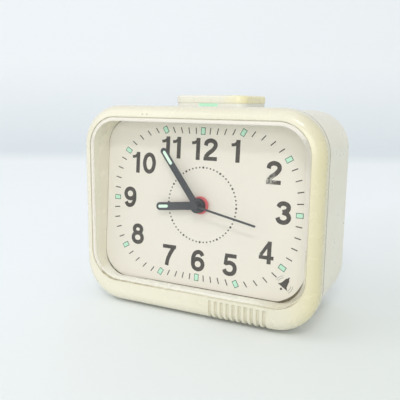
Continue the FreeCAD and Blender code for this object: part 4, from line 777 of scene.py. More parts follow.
# The cap's yellowed tone is yellowing plus painted shade on its +x side.
CAP = AgedBezel("cap_yellowed", (0.80, 0.785, 0.69), (0.785, 0.77, 0.665), 0.28, coat=0.3,
                grain_depth=0.0, yellowed_shade=(0.84, 0.78, 0.47), yellowed_shade_x=(0.006, 0.018),
                wall_y=(0.1, 0.2))
WHITE = Moulded("white_moulded", (0.785, 0.785, 0.715), (0.765, 0.765, 0.695), 0.38,
                grain_depth=0.0)
GREEN = Moulded("flag_green", (0.52, 0.88, 0.66), (0.48, 0.84, 0.61), 0.40)
RED = Moulded("alarm_red", (0.74, 0.18, 0.20), (0.67, 0.14, 0.16), 0.38)
HAND = Moulded("hand_grey", (0.055, 0.058, 0.065), (0.07, 0.073, 0.08), 0.42)
LUME = Moulded("hand_lume", (0.68, 0.87, 0.75), (0.63, 0.83, 0.70), 0.75, grain=4000.0,
               grain_depth=0.00003)
MARK = Moulded("mark_lume", (0.50, 0.78, 0.63), (0.46, 0.74, 0.58), 0.75, grain=4000.0,
               grain_depth=0.00003)
INK = Moulded("dial_ink", (0.060, 0.053, 0.048), (0.076, 0.068, 0.062), 0.60, patch=300.0)
FINE_INK = Moulded("fine_ink", (0.036, 0.032, 0.026), (0.050, 0.045, 0.038), 0.60, patch=300.0)
EDGE_INK = Moulded("edge_ink", (0.045, 0.12, 0.085), (0.065, 0.15, 0.11), 0.60, patch=300.0)
FAINT = Moulded("faint_ink", (0.27, 0.27, 0.25), (0.33, 0.33, 0.31), 0.60, patch=300.0)
# Dark paint for the painted shadow between the dial card and the window's wall.
GAP_SHADOW = Moulded("gap_shadow_paint", (0.11, 0.09, 0.055), (0.16, 0.14, 0.09), 0.80, patch=300.0)
RUBBER = Moulded("foot_rubber", (0.030, 0.030, 0.031), (0.045, 0.045, 0.045), 0.85,
                 grain_depth=0.00004)
BLACK = Moulded("black_moulded", (0.018, 0.018, 0.020), (0.030, 0.030, 0.032), 0.45)
NATURAL = Moulded("natural_acetal", (0.74, 0.72, 0.64), (0.70, 0.67, 0.58), 0.34)
WHEEL = Moulded("wheel_acetal", (0.80, 0.79, 0.75), (0.76, 0.75, 0.70), 0.30)
BOARD = Moulded("board_laminate", (0.20, 0.12, 0.045), (0.25, 0.15, 0.06), 0.50, patch=500.0)
STEEL = Metal("bright_steel", (0.62, 0.62, 0.63), (0.52, 0.52, 0.53), 0.28)
SPRING = Metal("spring_steel", (0.55, 0.54, 0.52), (0.45, 0.44, 0.42), 0.33)
NICKEL = Metal("nickel_contact", (0.66, 0.64, 0.58), (0.55, 0.53, 0.48), 0.26)
BRASS = Metal("turned_brass", (0.74, 0.55, 0.24), (0.62, 0.44, 0.18), 0.27)
MAGNET = Metal("sintered_magnet", (0.16, 0.16, 0.165), (0.22, 0.22, 0.22), 0.5)
CLEAR = ClearPane("clear_lens", (0.99, 0.99, 0.98), (0.98, 0.98, 0.965))
WIRE = Banded("enamelled_wire", (0.46, 0.14, 0.04), (0.40, 0.12, 0.03), 0.30, axis="Z",
              period=0.00035, second=(0.62, 0.24, 0.08))
SLEEVE = Banded("cell_sleeve", (0.030, 0.034, 0.045), (0.045, 0.05, 0.06), 0.30, edge=0.009,
                second=(0.48, 0.33, 0.13), coat=0.4)

NODE_FINISH: dict[Finish, tuple[str, ...]] = {
    CASE: ("rear_case",), DOOR: ("battery_door",), RUBBER: ("rubber_feet",),
    GREEN: ("alarm_flag",), SLEEVE: ("battery_cell",), RED: ("alarm_hand",),
    WIRE: ("coil_winding",), BOARD: ("circuit_board",), MAGNET: ("rotor_magnet",),
    WHITE: ("alarm_button_stem", "button_chassis", "dial_plate"),
    STEEL: ("case_screws", "movement_screws", "stator", "coil_core", "quartz_crystal"),
    NICKEL: ("switch_leaf", "switch_contact", "alarm_leaf", "positive_contact",
             "negative_contact"),
    BLACK: ("sounder", "coil_bobbin", "chip"),
    NATURAL: ("movement_front_plate", "movement_rear_cover"),
    WHEEL: ("rotor_pinion", "intermediate_wheel", "seconds_wheel", "third_wheel", "minute_wheel",
            "hour_wheel", "alarm_wheel", "alarm_set_gear", "time_set_gear"),
    BRASS: ("centre_wheel", "cannon_pinion"),
    HAND: ("hour_hand", "minute_hand", "second_hand"),
    LUME: ("hour_hand_lume", "minute_hand_lume"),
}
WORN_PLACE = (32.6, 14.9, 0.0)  # on the dial, over the two


# ---------------------------------------------------------- the sub-assemblies

@dataclass
class CaseFront:
    """Bezel: one closed ring of loops round the window, with ribs pressed into its chin."""

    space: ClockSpace
    outer: Shape = (120.0, 96.6, 19.9, -2.4)
    seat: Shape = (109.7, 80.4, 14.6, 0.4)
    window: Shape = (108.3, 78.4, 13.2, 0.4)
    on_dial: Shape = (107.7, 79.8, 13.0, -0.3)
    front: float = 12.7
    parting: float = 2.3
    parting_wide: float = 1.0
    side_levels: tuple[float, ...] = (4.3, 4.5, 4.7, 4.9, 5.5, 6.2)
    roll: float = 5.8
    roll_reach: float = 4.7
    face_shares: tuple[float, ...] = (0.2, 0.4, 0.6, 0.75, 0.83, 0.87, 0.91, 0.95, 1.0)
    wall: float = 2.0
    face_back: float = 9.3
    seat_top: float = 11.6
    lens_floor: float = 10.5
    tunnel_mid: float = 6.0
    tunnel_wall: float = 2.0
    lip: float = 0.25
    rib_first: float = 10.9
    rib_pitch: float = 2.9
    rib_count: int = 10
    rib_width: float = 1.3
    rib_sink: float = 0.75
    rib_top: float = -41.2
    rib_end: float = 4.5
    rib_fade: float = 0.22
    rib_start: float = 0.35
    # Painted shade in the parting line's loops; grime plus painted shade in the rib grooves, least
    # and more towards the underside.
    parting_shade: tuple[float, ...] = (2.0, 2.0, 1.4, 0.3, 0.1)
    rib_grime_and_shade: Pair = (0.28, 0.9)
    scuff_places: tuple[Place, ...] = ((-24.6, 42.0, 12.3), (-22.2, 42.0, 12.3))

    def profile(self) -> tuple[np.ndarray, slice, int]:
        """Loops round the ring's section: side, roll, face, lip, seat, drafted tunnel and back.

        Returns:
            The table of loops, the ones at the lens's edge, and the first of
            the two that lie on the dial.
        """
        line, floor, mid = self.parting + self.parting_wide, self.lens_floor, self.tunnel_mid
        levels = (line, line + 0.2, line + 0.7, *self.side_levels)
        rows = rows_of(self.outer, (0.06, self.parting), (0.0, line - 0.2),
                       *((0.0, level) for level in levels))
        limit = math.acos(1.0 - self.roll_reach / self.roll)
        spring = self.front - self.roll
        rows += rows_of(self.outer,
                        *bulge(self.roll, spring, self.roll, np.linspace(0.0, limit, 18)))
        brow = spring + self.roll * math.sin(limit) + 0.04
        start, stop = np.array(rows[-1]), np.array(rows_of(self.seat, (-self.lip, brow))[0])
        rows += [list(start + (stop - start) * share) for share in self.face_shares]
        edge = len(rows) - 1
        rows += rows_of(self.seat, *brim(-self.lip, brow, -self.lip, np.linspace(0.3, QUARTER, 5)))
        rows += rows_of(self.seat, (0.0, self.seat_top), (0.0, floor + 0.05), (0.05, floor))
        rows += rows_of(self.window, (-0.25, floor), (-0.07, floor - 0.07), (0.0, floor - 0.25),
                        (0.0, mid))
        on_dial = len(rows)
        rows += rows_of(self.on_dial, (0.0, 0.0))
        rows += rows_of(self.window, *((-self.tunnel_wall, z) for z in (0.0, mid, self.face_back)))
        rows += rows_of(self.outer, *((self.wall, z) for z in (self.face_back, mid, self.parting)),
                        (0.3, self.parting))
        return np.array(rows), slice(edge, edge + 7), on_dial

    def groove_share(self, points: np.ndarray, rolled: int) -> np.ndarray:
        """How deep each point lies in a rib's groove, from 0 to 1.

        Across, the share is a soft square wave of the pitch; along, it fades in
        below rib_top on the face and out before rib_end on the underside.

        Args:
            points: the ring's grid in case coordinates.
            rolled: number of loops that form the outer side, roll and face.

        Returns:
            Share for each point.
        """
        x, y, z = np.moveaxis(points, -1, 0)
        nearest = np.clip(np.round((x - self.rib_first) / self.rib_pitch), 0, self.rib_count - 1)
        off = np.abs(x - self.rib_first - nearest * self.rib_pitch)
        across = eased(-off, -(self.rib_width / 2 + self.rib_fade), 2 * self.rib_fade)
        share = across * eased(-y, -self.rib_top, self.rib_start)
        share *= eased(z, self.rib_end, self.rib_start)
        share[rolled:] = 0.0
        return share

    def grime_and_shade_share(self, points: np.ndarray, lip: slice, back: int) -> np.ndarray:
        """Where grime and painted shade lie: painted shade in the parting line and round the lens's
        seat, grime most of all at the lens's lower left.

        Along the lens's edge the grime at the lower left waves with the product of two sines of
        the path's own length.  Below 0 the plastic is painted paler, as painted light: on the
        window's lower wall, and a little on its left one.

        Args:
            points: the ring's grid in case coordinates.
            lip: loops at the lens's edge.
            back: number of the first loop behind the dial.

        Returns:
            Share for each point.
        """
        share = np.zeros(points.shape[:2])
        # Painted shade along the parting line, where the bezel steps in to the case.
        share[:len(self.parting_shade)] = np.array(self.parting_shade)[:, None]
        x, y, _ = np.moveaxis(points[lip], -1, 0)
        steps = np.diff(points[lip.start], axis=0, prepend=points[lip.start][:1])
        run = np.cumsum(np.linalg.norm(steps, axis=1))
        wave = np.clip(0.5 + 0.5 * np.sin(run * 1.1) * np.sin(run * 0.37 + 1.0), 0.0, 1.0)
        wave = np.maximum(wave, np.exp(-((x + 38.0) / 2.5) ** 2))
        low, left = eased(-y, 34.0, 4.0), eased(-x, -8.0, 50.0)
        # Painted shade in the lens's seat all round, more at the left; low down, wavy grime.
        around = 0.22 + 0.22 * eased(-x, 50.0, 4.0) * (1.0 - low)
        rank = np.linspace(0.2, 1.0, x.shape[0])[:, None]
        share[lip] = rank * (around + low * (1.5 * left * (0.35 + 0.65 * wave) - 0.08))
        share = np.maximum(share, 0.0)
        # Painted light on the window's lower wall and a little on its left one, stored below 0.
        x, y, _ = np.moveaxis(points[lip.stop + 1:back], -1, 0)
        bottom = eased(-y, 33.0, 4.0) * (1.0 - eased(x, 25.0, 20.0))
        share[lip.stop + 1:back] = -np.maximum(bottom, 0.25 * eased(-x, 50.0, 2.0))
        return share

    def build(self) -> None:
        """Loft the ring, press the ribs in and store the share of grime and painted shade."""
        straight = self.outer[0] / 2 - self.outer[2]
        first = (self.rib_first - self.rib_width) / straight
        last = (self.rib_first + self.rib_pitch * (self.rib_count - 1) + self.rib_width) / straight
        bottom = np.concatenate([even(14, -1.0, first), even(300, first, last), even(4, last, 1.0)])
        path = RoundedPath.make(bottom, 12, 26)
        rows, lip, on_dial = self.profile()
        grid = path.loops(rows)
        grid[on_dial] = draw_in(grid[on_dial])
        dial = slice(on_dial, on_dial + 2)
        grid[dial, :, 2] = -grid[dial, :, 1] * math.tan(self.space.lean)
        share = self.groove_share(grid, lip.start)
        grime_and_shade = self.grime_and_shade_share(grid, lip, on_dial + 1)
        # Grime plus painted shade in the rib grooves, more on the underside.
        least, more = self.rib_grime_and_shade
        in_ribs = share * (least + more * eased(-grid[..., 2], -10.5, 3.0))
        grime_and_shade = np.where(grime_and_shade < 0.0, grime_and_shade, np.maximum(grime_and_shade, in_ribs))
        normal = grid_normals(grid)
        outward = np.sign(np.mean(normal[5, :, 0] * path.ux))
        grid = grid - normal * outward * (share * self.rib_sink)[..., None]
        piece = put_mesh("bezel_ring", grid_solid(self.space.case(grid), Ends.JOINED))
        store(piece, "grime_and_shade", grime_and_shade)
        places = self.space.case(np.array(self.scuff_places))
        finish = replace(CREAM, scuffs=tuple(plain(place) for place in places))
        settle(piece, "clock_case", finish, "bezel_plastic", "front_bezel")


@dataclass
class Lens:
    """Clear pane: a closed sheet of loops with a rounded front edge and a short rim behind."""

    space: ClockSpace
    pane: Shape = (109.3, 80.0, 14.4, 0.4)
    rim: Shape = (107.9, 78.0, 13.0, 0.4)
    front: float = 12.5
    thick: float = 2.0
    edge: float = 0.7
    rim_wall: float = 0.6
    rim_depth: float = 0.5
    # Painted highlight band on the pane's edge: its inset, and its strength on the top, left, right
    # and bottom sides.
    glint_band: float = 1.5
    glint_sides: tuple[float, ...] = (1.0, 0.75, 0.15, 0.0)
    gloss: float = 0.45

    def build(self) -> None:
        """Loft from the middle of the front over edge and rim to the middle of the back."""
        back, edge = self.front - self.thick, self.edge
        insets = (38.0, 24.0, 10.0, 4.0, self.glint_band + 0.4, self.glint_band, 1.1, edge)
        rows = rows_of(self.pane, *((inset, self.front) for inset in insets))
        rows += rows_of(self.pane, *brim(edge, self.front, -edge, np.linspace(0.2, QUARTER, 7)),
                        (0.0, back))
        glossy_to = len(rows)
        glint_from, glint_to = insets.index(self.glint_band), glossy_to + 1
        tip, inner = back - self.rim_depth, self.rim_wall
        rows += rows_of(self.rim, (0.0, back), (0.0, tip), (inner, tip),
                        *((inset, back) for inset in (inner, 12.0, 36.0)))
        grid = RoundedPath.make(even(40), 30, 24).loops(np.array(rows))
        skin = grid_solid(self.space.case(grid), Ends.FAN)
        piece = put_mesh("lens_pane", skin, 30.0)
        # Painted highlight: full along the top, less at the left, faint at the right, none at the
        # bottom.
        top, left, right, bottom = self.glint_sides
        x, y = grid[glint_from, :, 0], grid[glint_from, :, 1]
        aside = np.where(x < 0, left, right)
        upper, lower = eased(y, 30.0, 7.0), eased(-y, 30.0, 8.0)
        share, gloss = np.zeros(grid.shape[:2]), np.zeros(grid.shape[:2])
        share[glint_from:glint_to] = aside + (top - aside) * upper + (bottom - aside) * lower
        gloss[:glossy_to - 1] = self.gloss
        store(piece, "rim", np.concatenate([share.ravel(), [0.0, 0.0]]))
        store(piece, "gloss", np.concatenate([gloss.ravel(), [self.gloss, 0.0]]))
        settle(piece, "clock_case", CLEAR, "clear_plastic", "lens")


@dataclass
class AlarmButton:
    """Crowned cap of the push button."""

    outline: Shape = (36.5, 31.0, 5.0, 0.0)
    thick: float = 4.0
    under: float = 0.3
    shoulder: float = 1.6
    drop: float = 1.0
    crown: float = 0.35

    def shrunk(self, row: list[float], share: float, level: float) -> list[float]:
        """A row about the same middle, smaller by a share, at a level."""
        return [size * share for size in row[:3]] + [0.0, level]

    def build(self) -> None:
        """Loft underside, wall, shoulder and crown; the crown's rise is 1 minus share squared."""
        low, high = (np.array(corner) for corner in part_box("alarm_button_cap"))
        under, wall = self.under, self.thick - self.drop - self.crown
        rows = [self.shrunk(list(self.outline), share, 0.0) for share in (0.02, 0.35, 0.7, 0.93)]
        turn = np.linspace(0.0, QUARTER * 0.96, 12)
        rows += rows_of(self.outline, *brim(under, 0.0, under, np.linspace(0.0, QUARTER, 5)),
                        *bulge(self.shoulder, wall, self.drop, turn))
        top = rows[-1]
        rows += [self.shrunk(top, share, top[4] + (self.thick - top[4]) * (1 - share * share))
                 for share in (0.93, 0.85, 0.7, 0.5, 0.3, 0.12, 0.03)]
        grid = RoundedPath.make(even(10), 10, 12).loops(np.array(rows)) * MM
        grid += np.array([0.0, (low[1] + high[1]) / 2, low[2]])
        piece = put_mesh("button_cap_crowned", grid_solid(grid, Ends.FAN))
        settle(piece, "alarm_button", CAP, "cap_plastic", "alarm_button_cap")


@dataclass
class BowedSpring:
    """Strip of spring steel that lifts the button, bowed between two flat feet."""

    strip: float = 0.4
    foot: float = 2.5
    crest: float = 2.0
    press: float = 2.4
    stations: int = 48

    def build(self) -> None:
        """Sweep the strip's section along its bow.

        The bow's height is t squared times (3 - 2 t), t running from foot to
        crest; the section stands square to the bow.
        """
        low, high = (np.array(corner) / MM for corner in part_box("button_spring"))
        half, rise = (high[0] - low[0]) / 2, high[2] - low[2]
        x = np.linspace(-half, half, self.stations)
        share = eased(-np.abs(x), self.foot - half, half - self.foot - self.crest)
        z = low[2] + self.strip / 2 + share * (rise - self.strip)
        slope = np.gradient(z, x)
        upright = np.stack([-slope, 0 * x, 0 * x + 1.0], axis=1) / np.hypot(1.0, slope)[:, None]
        bow = np.stack([x + (low[0] + high[0]) / 2, 0 * x, z], axis=1)
        sides = self.strip / 2 * np.array([-1.0, -1.0, 1.0, 1.0])
        grid = bow[:, None] + upright[:, None] * sides[None, :, None]
        grid[..., 1] = np.array([low[1], high[1], high[1], low[1]])
        piece = put_mesh("button_spring_bowed", grid_solid(grid * MM, Ends.FAN))
        settle(piece, "clock_case", SPRING, "steel", "button_spring")
        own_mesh(piece)


@dataclass
class SettingKnob:
    """Fluted knob: the radius dips in twelve smooth notches round the head."""

    joints: list[dict]
    which: str
    radius: float = 6.0
    hub: float = 3.0
    flutes: int = 12
    notch: float = 0.55
    head_from: float = 29.2
    head_to: float = 35.2
    hub_from: float = 22.2

    def build(self) -> None:
        """Revolve the profile about the joint's axis.

        The reach is the profile's radius, less notch times the flutes' cosine,
        lifted to run from 0 to 1 and cubed.
        """
        axis, place = joint_line(self.joints, f"{self.which}_knob_turn")
        side = np.array([1.0, 0.0, 0.0])
        up = np.cross(axis, side)
        start, stop, low = self.head_from, self.head_to, self.hub_from
        hub, rim = self.hub, self.radius
        profile = np.array([
            (0.05, low, 0), (hub - 0.2, low, 0), (hub, low + 0.2, 0), (hub, start - 0.1, 0),
            (hub + 0.3, start, 0), (rim - 0.7, start, 0.6), (rim - 0.2, start + 0.2, 1),
            (rim, start + 0.7, 1), (rim, stop - 0.8, 1), (rim - 0.25, stop - 0.25, 1),
            (rim - 0.8, stop, 0.5), (rim - 1.8, stop, 0), (rim - 2.2, stop - 0.5, 0),
            (0.05, stop - 0.6, 0)])
        turn = even(144, 0.0, 2 * math.pi)
        dip = (0.5 + 0.5 * np.cos(self.flutes * turn)) ** 3
        reach = profile[:, [0]] - self.notch * profile[:, [2]] * dip[None, :]
        height = np.broadcast_to(profile[:, [1]], reach.shape)
        grid = (reach * np.cos(turn))[..., None] * side + (reach * np.sin(turn))[..., None] * up
        grid = (grid + height[..., None] * axis) * MM + place
        piece = put_mesh(f"{self.which}_knob_fluted", grid_solid(grid, Ends.FAN), 28.0)
        settle(piece, f"{self.which}_setting", WHITE, "white_plastic", f"{self.which}_set_knob")


# ------------------------------------------------------------------- the dial

@dataclass(frozen=True)
class Stroke:
    """One stroke of a numeral: knots of a smooth path, in a box a thousand high."""

    knots: tuple[Pair, ...]
    width: float = 185.0
    closed: bool = False


class Numeral(Enum):
    """Plain condensed numerals, each as a few strokes in thousandths of its height."""

    ZERO = (Stroke(((275, 908), (400, 820), (462, 600), (462, 400), (400, 180), (275, 92),
                    (150, 180), (88, 400), (88, 600), (150, 820)), closed=True),)
    ONE = (Stroke(((305, 0), (305, 1000)), 190), Stroke(((70, 765), (190, 790), (270, 870)), 130))
    TWO = (Stroke(((95, 670), (130, 830), (275, 908), (420, 830), (450, 670), (360, 490),
                   (200, 320), (100, 160))), Stroke(((30, 90), (520, 90)), 170))
    THREE = (Stroke(((100, 735), (155, 860), (275, 908), (400, 850), (435, 735), (390, 600),
                     (245, 535))),
             Stroke(((245, 525), (405, 455), (462, 300), (405, 150), (275, 92), (140, 150),
                     (90, 290))))
    FOUR = (Stroke(((390, 970), (100, 360)), 140), Stroke(((45, 275), (540, 275)), 155),
            Stroke(((385, 0), (385, 1000)), 175))
    FIVE = (Stroke(((90, 915), (500, 915)), 170), Stroke(((150, 980), (105, 480)), 150),
            Stroke(((100, 540), (270, 600), (410, 520), (455, 345), (405, 160), (265, 90),
                    (130, 140), (75, 270))))
    SIX = (Stroke(((445, 745), (390, 860), (285, 908), (155, 820), (90, 600), (88, 330))),
           Stroke(((275, 575), (405, 510), (460, 335), (405, 160), (275, 92), (145, 160), (90, 335),
                   (145, 510)), closed=True))
    SEVEN = (Stroke(((20, 915), (545, 915)), 170),
             Stroke(((455, 900), (335, 620), (235, 310), (195, 0))))
    EIGHT = (Stroke(((275, 908), (385, 855), (425, 735), (385, 605), (275, 545), (165, 605),
                     (125, 735), (165, 855)), closed=True),
             Stroke(((275, 555), (410, 485), (462, 320), (410, 155), (275, 92), (140, 155),
                     (88, 320), (140, 485)), closed=True))
    NINE = (Stroke(((105, 255), (160, 140), (265, 92), (395, 180), (460, 400), (462, 670))),
            Stroke(((275, 425), (145, 490), (90, 665), (145, 840), (275, 908), (405, 840),
                    (460, 665), (405, 490)), closed=True))

    @classmethod
    def of(cls, digit: str) -> "Numeral":
        """The numeral that draws a digit."""
        return list(cls)[int(digit)]


def smooth_path(knots: np.ndarray, closed: bool, steps: int = 9) -> np.ndarray:
    """Catmull-Rom curve: each span is the cubic whose end slopes are half its neighbours' chord.

    Args:
        knots: n x 2 places.
        closed: the curve returns to its start.
        steps: points per span.

    Returns:
        Points of the curve.
    """
    if len(knots) == 2:
        return knots
    if closed:
        spans = [np.roll(knots, shift, axis=0) for shift in (1, 0, -1, -2)]
    else:
        before, after = 2 * knots[:1] - knots[1:2], 2 * knots[-1:] - knots[-2:-1]
        padded = np.concatenate([before, knots, after])
        spans = [padded[:-3], padded[1:-2], padded[2:-1], padded[3:]]
    t = even(steps, 0.0, 1.0)[None, :, None]
    p0, p1, p2, p3 = (span[:, None, :] for span in spans)
    curve = 0.5 * (2 * p1 + (p2 - p0) * t + (2 * p0 - 5 * p1 + 4 * p2 - p3) * t ** 2
                   + (3 * p1 - p0 - 3 * p2 + p3) * t ** 3)
    curve = curve.reshape(-1, 2)
    return curve if closed else np.concatenate([curve, knots[-1:]])


def ribbon(path: np.ndarray, width: float, high: float, closed: bool) -> Skin:
    """Flat bar along a path: each point gives four corners, half the width to each side.

    Args:
        path: n x 2 places.
        width: width of the bar.
        high: its thickness.
        closed: the bar is a ring.

    Returns:
        Its closed skin.
    """
    if closed:
        slope = np.roll(path, -1, axis=0) - np.roll(path, 1, axis=0)
    else:
        slope = np.gradient(path, axis=0)
    slope /= np.linalg.norm(slope, axis=1, keepdims=True)
    aside = np.stack([-slope[:, 1], slope[:, 0]], axis=1) * width / 2
    left, right = path + aside, path - aside
    edges = ((left, 0.0), (right, 0.0), (right, high), (left, high))
    rows = np.stack([np.column_stack([side, np.full(len(path), level)]) for side, level in edges],
                    axis=1)
    return grid_solid(rows, Ends.JOINED if closed else Ends.FAN)


def prisms(outline: np.ndarray, places: np.ndarray, turns: np.ndarray, high: float) -> Skin:
    """Copies of one outline as thin prisms: each is turned, moved and given a roof.

    Args:
        outline: n x 2 corners about the origin.
        places: m x 2 middles.
        turns: m angles in radians, anticlockwise.
        high: thickness.

    Returns:
        Their closed skins.
    """
    cosine, sine = np.cos(turns)[:, None], np.sin(turns)[:, None]
    x = outline[:, 0] * cosine - outline[:, 1] * sine + places[:, [0]]
    y = outline[:, 0] * sine + outline[:, 1] * cosine + places[:, [1]]
    count, corners = x.shape
    rings = np.stack([np.stack([x, y, np.full(x.shape, level)], axis=-1) for level in (0.0, high)],
                     axis=1)
    block = np.concatenate([rings.reshape(count, 2 * corners, 3), rings.mean(axis=2)], axis=1)
    _, quads = grid_solid(np.zeros((2, corners, 3)), Ends.FAN)
    shift = np.arange(count)[:, None, None] * block.shape[1]
    return block.reshape(-1, 3), (quads[None] + shift).reshape(-1, 4)


def rectangle(width: float, height: float) -> np.ndarray:
    """Corners of a rectangle about the origin."""
    return np.array([(-1, -1), (1, -1), (1, 1), (-1, 1)], float) * np.array([width, height]) / 2


def disc(radius: float, corners: int = 12) -> np.ndarray:
    """Corners of a round dot about the origin."""
    turn = even(corners, 0.0, 2 * math.pi)
    return radius * np.stack([np.cos(turn), np.sin(turn)], axis=1)


@dataclass
class Dial:
    """Printed card with numerals, minute track, luminous hour marks and a ring of dots.

    Of half_digit (half an advance) and middles, in heights, the first is a
    one's and the second any other digit's.
    """

    space: ClockSpace
    height: float = 10.3
    widen: float = 1.36
    bolder: float = 1.06
    half_digit: Pair = (0.29, 0.43)
    middles: Pair = (0.24, 0.275)
    half_width: float = 47.5
    half_height: float = 34.75
    off_middle: Pair = (-0.9, -0.15)
    stretch: float = 0.0004
    corner: float = 28.4
    tick: Pair = (0.48, 3.0)
    mark: Pair = (2.35, 3.4)
    mark_rim: float = 0.3
    ring: float = 17.7
    dots: Pair = (0.54, 0.40)
    thick: float = 0.03
    lume_thick: float = 0.08
    step: float = 0.004
    window: Shape = (107.7, 79.8, 13.0, -0.3)
    # Painted shadow between card and wall: its widths (hair, low, wide) and the place where it is
    # widest.
    gap_shadow_widths: tuple[float, ...] = (0.12, 0.42, 0.55)
    gap_shadow_corner: Pair = (48.0, -35.0)
    bell_place: Pair = (42.6, -31.4)
    bell_turn: float = -0.57
    bell_side: tuple[Pair, ...] = ((0.3, 4.1), (0.35, 3.3), (0.95, 2.6), (1.25, 1.1), (1.6, -0.3),
                                   (2.6, -1.4))
    clapper: Pair = (0.55, 2.5)
    arc_width: float = 0.22
    arcs: Pair = (3.1, 4.0)
    places: dict[str, Pair] = field(default_factory=lambda: {
        "12": (-0.4, 26.2), "1": (16.1, 26.1), "2": (34.6, 17.6), "3": (40.1, 0.3),
        "4": (33.2, -18.2), "5": (16.1, -26.4), "6": (-0.5, -26.7), "7": (-16.4, -26.2),
        "8": (-34.8, -17.8), "9": (-40.1, 0.4), "10": (-33.3, 18.0), "11": (-17.35, 26.3)})

    def track(self, angles: np.ndarray) -> np.ndarray:
        """Where rays from the middle meet the minute track, a rounded rectangle.

        A ray meets the top side at Y / |cos|, the right side at X / |sin|, and
        between them the corner circle at b + sqrt(b b - c), its far crossing.

        Args:
            angles: clockwise from twelve, in radians.

        Returns:
            Distances from the middle.
        """
        sine, cosine = np.abs(np.sin(angles)), np.abs(np.cos(angles))
        box_x, box_y = self.half_width - self.corner, self.half_height - self.corner
        top = self.half_height / np.maximum(cosine, 1e-9)
        side = self.half_width / np.maximum(sine, 1e-9)
        b = box_x * sine + box_y * cosine
        arc = b + np.sqrt(np.maximum(b * b - (box_x ** 2 + box_y ** 2 - self.corner ** 2), 0.0))
        return np.where(top * sine <= box_x, top, np.where(side * cosine <= box_y, side, arc))

    def on_track(self, minutes: np.ndarray) -> tuple[np.ndarray, np.ndarray]:
        """Place marks on the track; x grows by stretch times x squared.

        Args:
            minutes: minutes from twelve.

        Returns:
            Their middles and turns.
        """
        angles = minutes * math.pi / 30
        reach = self.track(angles)
        x = reach * np.sin(angles)
        places = np.stack([x + self.stretch * x * x, reach * np.cos(angles)], axis=1)
        return places + self.off_middle, -angles

    def lay(self, name: str, finish: Finish, slot: str, *parts: Skin) -> None:
        """Lay prints on the dial's face and settle them."""
        vertices, quads = stack(list(parts))
        piece = put_mesh(name, (self.space.dial(vertices), quads), 30.0)
        settle(piece, "clock_case", finish, slot)

    def numerals(self) -> list[Skin]:
        """Draw the twelve numerals, each stroke a step above the one before in its digit.

        Returns:
            A skin for every stroke.
        """
        parts = []
        for word, (x, y) in self.places.items():
            advance = sum(self.half_digit[digit != "1"] for digit in word)
            for place, digit in enumerate(word):
                centre = self.middles[digit != "1"] * self.widen
                left = x / self.height + advance * (place - 0.5) * (len(word) - 1) - centre
                for level, stroke in enumerate(Numeral.of(digit).value):
                    knots = np.array(stroke.knots) / 1000 * np.array([self.widen, 1.0])
                    knots += np.array([left, y / self.height - 0.5])
                    path = smooth_path(knots * self.height, stroke.closed)
                    width = stroke.width / 1000 * self.bolder * self.height
                    parts.append(ribbon(path, width, self.thick + self.step * level, stroke.closed))
        return parts

    def bell(self) -> list[Skin]:
        """Draw a plain little bell beside the five.

        Returns:
            Skins of its closed outline and its clapper.
        """
        half, turn = np.array(self.bell_side), self.bell_turn
        outline = np.concatenate([half, half[::-1] * np.array([-1.0, 1.0])])
        place, (size, hang) = np.array([self.bell_place]), self.clapper
        clapper = place + hang * np.array([[math.sin(turn), -math.cos(turn)]])
        return [prisms(outline, place, np.array([turn]), self.thick),
                prisms(disc(size), clapper, np.zeros(1), self.thick + self.step)]

    def ringing(self) -> list[Skin]:
        """Draw thin arcs on both sides of the bell: circles about it, cut to a short turn.

        Returns:
            A skin for each arc.
        """
        middle, parts = np.array(self.bell_place), []
        for side in (0.0, math.pi - 0.35):
            way = np.linspace(-0.5, 0.5, 12) + side + self.bell_turn
            arc = np.stack([np.cos(way), np.sin(way)], axis=1)
            parts += [ribbon(middle + arc * reach, self.arc_width, self.thick, False)
                      for reach in self.arcs]
        return parts

    def gap_shadow_strip(self) -> Skin:
        """Painted shadow between card and wall: a dark ring on the window's outline, wide at the
        lower right.

        Its width eases from hair to low along the bottom, and to wide about
        the lower right corner; it ends a little above that corner.

        Returns:
            Its closed skin.
        """
        path = RoundedPath.make(even(60), 40, 40)
        rows = np.array(rows_of(self.window, (0.0, 0.0), (1.0, 0.0)))
        outer, inner = (draw_in(loop) for loop in path.loops(rows))
        x, y = outer[:, 0], outer[:, 1]
        (hair, low, wide), (corner_x, corner_y) = self.gap_shadow_widths, self.gap_shadow_corner
        share = hair + low * eased(-y, 30.0, 8.0) * eased(x, -60.0, 60.0)
        share += wide * eased(-np.hypot(x - corner_x, y - corner_y) / 7.0, -1.6, 1.0)
        share *= 1.0 - eased(x, 45.0, 4.0) * eased(y, -32.0, 4.0)
        drawn = outer + (inner - outer) * share[:, None]
        over = outer - (inner - outer) * 0.1
        lift = np.array([0.0, 0.0, self.thick])
        return grid_solid(np.stack([over, drawn, drawn + lift, over + lift], axis=1), Ends.JOINED)

    def build(self) -> None:
        """Print the card."""
        minutes, top = np.arange(60), self.thick
        heavy = minutes % 5 == 0
        hours, turn = self.on_track(minutes[heavy]), minutes * math.pi / 30
        ink = Rubbed("numeral_ink", INK.tone, INK.aged, INK.rough, patch=INK.patch,
                     smudge=plain(self.space.dial(np.array(WORN_PLACE))), smudge_size=0.0042,
                     rubbed=(0.58, 0.56, 0.51), strength=0.85)
        spots = self.ring * np.stack([np.sin(turn), np.cos(turn)], axis=1)
        dots = [prisms(disc(size), spots[which], turn[which], top)
                for size, which in zip(self.dots, (heavy, ~heavy))]
        inner = rectangle(*(size - 2 * self.mark_rim for size in self.mark))
        self.lay("dial_numerals", ink, "hand_paint", *self.numerals())
        self.lay("dial_bell", INK, "hand_paint", *self.bell())
        self.lay("dial_bell_arcs", FAINT, "hand_paint", *self.ringing())
